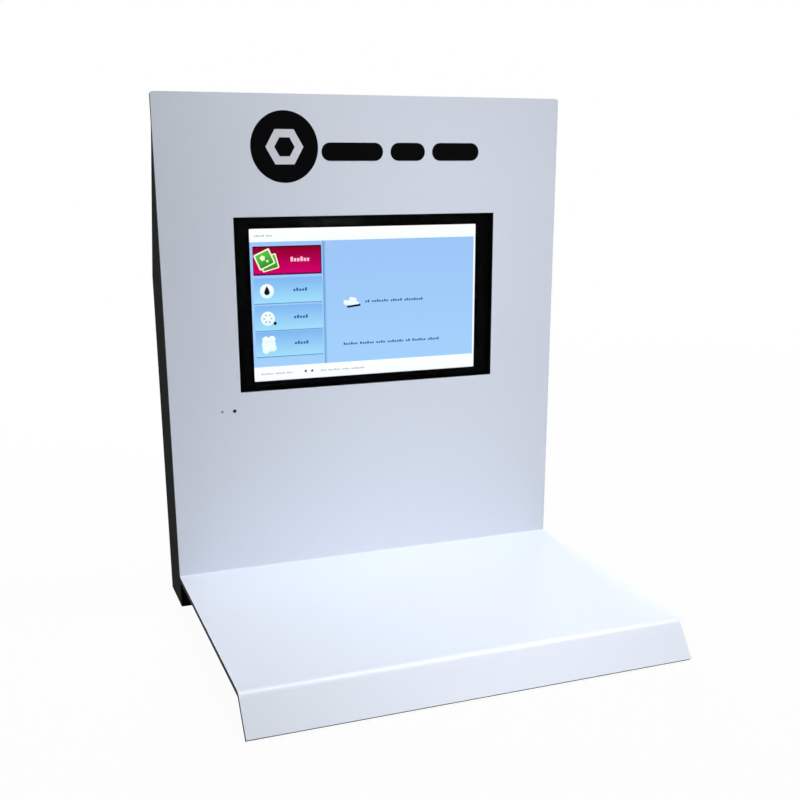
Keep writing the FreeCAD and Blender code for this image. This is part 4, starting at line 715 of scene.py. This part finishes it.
def surface_at(node, across, up):
    """The point and outward direction of a node's rear surface at a place across and up."""
    _, point, normal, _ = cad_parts[node].ray_cast(Vector((across, 1, up)), -REAR)
    return point, normal


def printed_marks():
    """White signs over the push keys, and a bar and a ring moulded on the rocker."""
    print_white = cut_vinyl("pad_print_white", "#D6D9DD", "#E4E7EA")
    print_black = cut_vinyl("pad_print_black", "#0B0B0D", "#141416")
    panel_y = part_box("input_panel")[1].y

    def bar(x, z, width, height, layer=1, material=print_white):
        return film("bar", (x, panel_y + layer * PAD_PRINT, z), width, height, 0.2 * MM, PAD_PRINT, material,
                    facing=REAR)

    def dot(x, z, radius, layer=1, material=print_white, corners=32, turn=0.0):
        return disc("dot", (x, panel_y + layer * PAD_PRINT, z), radius, PAD_PRINT, material, corners, turn,
                    REAR)

    marks = []
    for key in ("power", "menu", "up", "down", "enter"):
        low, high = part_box("key_" + key)
        x, z = (low.x + high.x) / 2, high.z + 5.5 * MM
        if key == "power":
            marks += [dot(x, z, 1.9 * MM), dot(x, z, 1.4 * MM, 2, print_black),
                      bar(x, z + 1.3 * MM, 1.2 * MM, 1.8 * MM, 3, print_black),
                      bar(x, z + 1.2 * MM, 0.5 * MM, 2.0 * MM, 4)]
        elif key == "menu":
            marks += [bar(x, z + step * 1.2 * MM, 3.4 * MM, 0.55 * MM) for step in (-1, 0, 1)]
        elif key == "enter":
            marks += [bar(x - 0.4 * MM, z, 2.6 * MM, 0.55 * MM),
                      dot(x + 1.5 * MM, z, 1.2 * MM, corners=3, turn=math.pi / 2)]
        else:
            marks.append(dot(x, z, 1.9 * MM, corners=3, turn=0.0 if key == "up" else math.pi))
    present(joined("key_signs", marks))

    low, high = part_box("power_rocker")
    x, middle, reach = (low.x + high.x) / 2, (low.z + high.z) / 2, (high.z - low.z) / 4
    point, normal = surface_at("power_rocker", x, middle + reach)
    signs = [film("sign_on", point + normal * PAD_PRINT, 0.8 * MM, 3.4 * MM, 0.3 * MM, PAD_PRINT, print_white,
                  facing=normal)]
    point, normal = surface_at("power_rocker", x, middle - reach)
    for layer, radius, material in ((1, 1.9 * MM, print_white), (2, 1.3 * MM, print_black)):
        signs.append(disc("sign_off", point + normal * layer * PAD_PRINT, radius, PAD_PRINT, material, 32,
                          facing=normal))
    present(joined("rocker_signs", signs), body="rocker")


def board_parts():
    """Small parts soldered to the player board, and the plugs on the leads."""
    tin = zinc_steel("tinned_copper", "#B4B6B8", "#D6D8DA", 0.26)
    ceramic = moulded_plastic("fired_ceramic_tan", "#7C6148", "#94775A", grain=0.3 * MM, roughness=0.4)
    low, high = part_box("player_board")
    centre = Vector(((low.x + high.x) / 2, high.y, (low.z + high.z) / 2))

    def upon(name, across, up, width, height, tall, material, edge=0.12 * MM):
        """A bevelled block on the board; sizes in metres from the board's centre."""
        corner = centre + Vector((across - width / 2, 0, up - height / 2))
        part = add_box(name, corner, corner + Vector((width, tall, height)))
        return painted(bevelled(part, edge, 1), material)

    def repeated(parts, places):
        """Copies of parts at each place, in millimetres from where they were made; they go themselves."""
        copies = [copied(part, Vector((across * MM, 0, up * MM)))
                  for across, up in places for part in parts]
        for part in parts:
            bpy.data.objects.remove(part)
        return copies

    steps = ((3.0, 0.8), (3.15, 1.1), (2.95, 1.5), (3.15, 1.9), (3.15, 5.0), (2.9, 5.4))
    can = faced(turned("can", [(radius * MM, height * MM) for radius, height in steps], tin), centre, REAR)
    base = upon("can_base", 0, 0, 6.6 * MM, 6.6 * MM, 1.0 * MM, epoxy, 0.4 * MM)
    cans = repeated([base, can], ((50, 12), (50, 2), (50, -8)))

    def chip_part(material):
        """A surface-mounted part with a tinned cap at each end."""
        ends = [upon("chip_end", side * 0.85 * MM, 0, 0.5 * MM, 1.3 * MM, 0.62 * MM, tin)
                for side in (-1, 1)]
        return [upon("chip_part", 0, 0, 1.2 * MM, 1.3 * MM, 0.6 * MM, material)] + ends

    row = [-30 + 4.6 * step for step in range(12)]
    tan_places = [(across, 24) for across in row] + [(across, -21) for across in row[::2]]
    small = repeated(chip_part(ceramic), tan_places)
    small += repeated(chip_part(epoxy), [(across, -21) for across in row[1::2]])
    coil = [upon("coil", 0, 0, 6 * MM, 6 * MM, 3 * MM, epoxy, 0.6 * MM),
            upon("coil_cap", 0, 0, 4 * MM, 4 * MM, 3.3 * MM, NODE_MATERIALS["processor_heat_sink"])]
    small += repeated(coil, [(-52, up) for up in (-21, -13, 3, 22)])
    feet = []
    for across, up, width, height, rows in ((34, 14, 11, 13, 9), (34, -4, 11, 13, 9), (-34, 12, 16, 12, 8)):
        for place in range(rows):
            along = up + (place / (rows - 1) - 0.5) * height * 0.82
            feet += [(across + side * (width / 2 + 0.6), along) for side in (-1, 1)]
    small += repeated([upon("lead_foot", 0, 0, 1.3 * MM, 0.5 * MM, 0.5 * MM, tin, 0.08 * MM)], feet)
    present(joined("board_cans", cans))
    present(joined("board_small_parts", small))

    socket_low = -34.5
    plugs = []
    for across, width in ((-40, 9), (-18, 11), (6, 16), (34, 12)):
        for wide, tall_low, tall_high, down in ((width, 1.2, 5.6, 6.0), (width - 2, 0.9, 6.2, 3.5)):
            corner = centre + Vector(((across - wide / 2) * MM, tall_low * MM, (socket_low - down) * MM))
            far = centre + Vector(((across + wide / 2) * MM, tall_high * MM, (socket_low - 0.1) * MM))
            plugs.append(painted(bevelled(add_box("plug", corner, far), 0.4 * MM), nylon))
    present(joined("lead_plugs", plugs))


# ---------------------------------------------------------------- set, camera and lights

def pale_floor():
    """A wide white floor that fades into the white surround and keeps the kiosk's shadow."""
    deselect()
    bpy.ops.mesh.primitive_circle_add(vertices=96, radius=14, fill_type="NGON")
    floor = settled("pale_floor")
    material, tree, shader = new_material("matt_pale_floor", Base_Color=linear("#C2C4C8"), Roughness=0.8,
                                          Specular_IOR_Level=0.1)
    place = add_node(tree, "ShaderNodeTexCoord").outputs["Object"]
    far = add_node(tree, "ShaderNodeVectorMath", {0: place}, operation="LENGTH").outputs["Value"]
    fade = add_node(tree, "ShaderNodeMapRange", {
        "Value": far, "From Min": 0.4, "From Max": 2.0, "To Min": 0.965, "To Max": 1.0},
        interpolation_type="SMOOTHSTEP").outputs["Result"]
    share = add_node(tree, "ShaderNodeMath", {0: fade, 1: seen_as_background(tree)}, operation="MULTIPLY")
    glow = add_node(tree, "ShaderNodeEmission", {"Color": (1, 1, 1, 1), "Strength": 1.0})
    mix = add_node(tree, "ShaderNodeMixShader", {
        0: share.outputs[0], 1: shader.outputs[0], 2: glow.outputs[0]})
    tree.links.new(mix.outputs[0], tree.nodes["Material Output"].inputs["Surface"])
    painted(floor, material)


def seen_as_background(tree):
    """1 where the camera, a reflection or a refraction sees the surface, and 0 where it lights others."""
    path = add_node(tree, "ShaderNodeLightPath").outputs
    seen = path["Is Camera Ray"]
    for kind in ("Is Glossy Ray", "Is Transmission Ray"):
        seen = add_node(tree, "ShaderNodeMath", {0: seen, 1: path[kind]}, operation="MAXIMUM").outputs[0]
    return seen


def white_surround(ambient):
    """A world that looks white and lights the object softly from all round."""
    world = bpy.data.worlds.new("white_surround")
    bpy.context.scene.world = world
    world.use_nodes = True
    tree = world.node_tree
    background = tree.nodes["Background"]
    background.inputs["Color"].default_value = linear("#FFFFFF")
    tree.links.new(spread(tree, seen_as_background(tree), ambient, 1.0), background.inputs["Strength"])


def aimed(name, light, place, target, power):
    """Puts a light at a point, facing another point."""
    light.energy = power
    lamp = bpy.data.objects.new(name, light)
    bpy.context.scene.collection.objects.link(lamp)
    lamp.location = place
    lamp.rotation_euler = (Vector(target) - Vector(place)).to_track_quat("-Z", "Y").to_euler()


def soft_box(name, place, target, width, height, power):
    """A rectangular soft light that faces a point."""
    light = bpy.data.lights.new(name, "AREA")
    light.shape = "RECTANGLE"
    light.size, light.size_y = width, height
    aimed(name, light, place, target, power)


def soft_spot(name, place, target, spread_angle, power):
    """A spot light with a soft edge that faces a point."""
    light = bpy.data.lights.new(name, "SPOT")
    light.spot_size, light.spot_blend = math.radians(spread_angle), 1.0
    light.shadow_soft_size = 0.25
    aimed(name, light, place, target, power)


def camera():
    """The camera: to the left of the kiosk, a little above it and looking down."""
    lens = bpy.data.cameras.new("camera")
    lens.lens = 49.8
    lens.sensor_width = 36
    lens.shift_x, lens.shift_y = -0.015, 0.1
    seat = bpy.data.objects.new("camera", lens)
    bpy.context.scene.collection.objects.link(seat)
    seat.location = (-0.3304, -0.8637, 0.4026)
    seat.rotation_euler = (math.radians(90 - 16.27), 0, math.radians(-21.03))
    bpy.context.scene.camera = seat


def set_scene():
    pale_floor()
    white_surround(0.18)
    middle = (0, 0, 0.2)
    soft_box("overhead_light", (0.6, -0.15, 1.95), middle, 0.8, 1.6, 30)
    soft_spot("front_light", (0.35, -1.6, 0.8), (0.08, 0.1, 0.36), 20.5, 48)
    soft_spot("shelf_light", (0.3, -1.1, 1.5), (0.06, -0.1, 0.02), 18, 26)
    soft_spot("lip_light", (0.25, -1.7, 0.55), (0.02, -0.19, -0.02), 19, 36)
    soft_box("rear_light", (0.12, 1.8, 0.62), middle, 0.7, 0.8, 34)
    camera()
    bpy.context.scene.view_settings.view_transform = "Standard"


dress_nodes()
touch_screen()
display_case()
picture()
header_graphic()
speakers()
printed_marks()
board_parts()
set_scene()
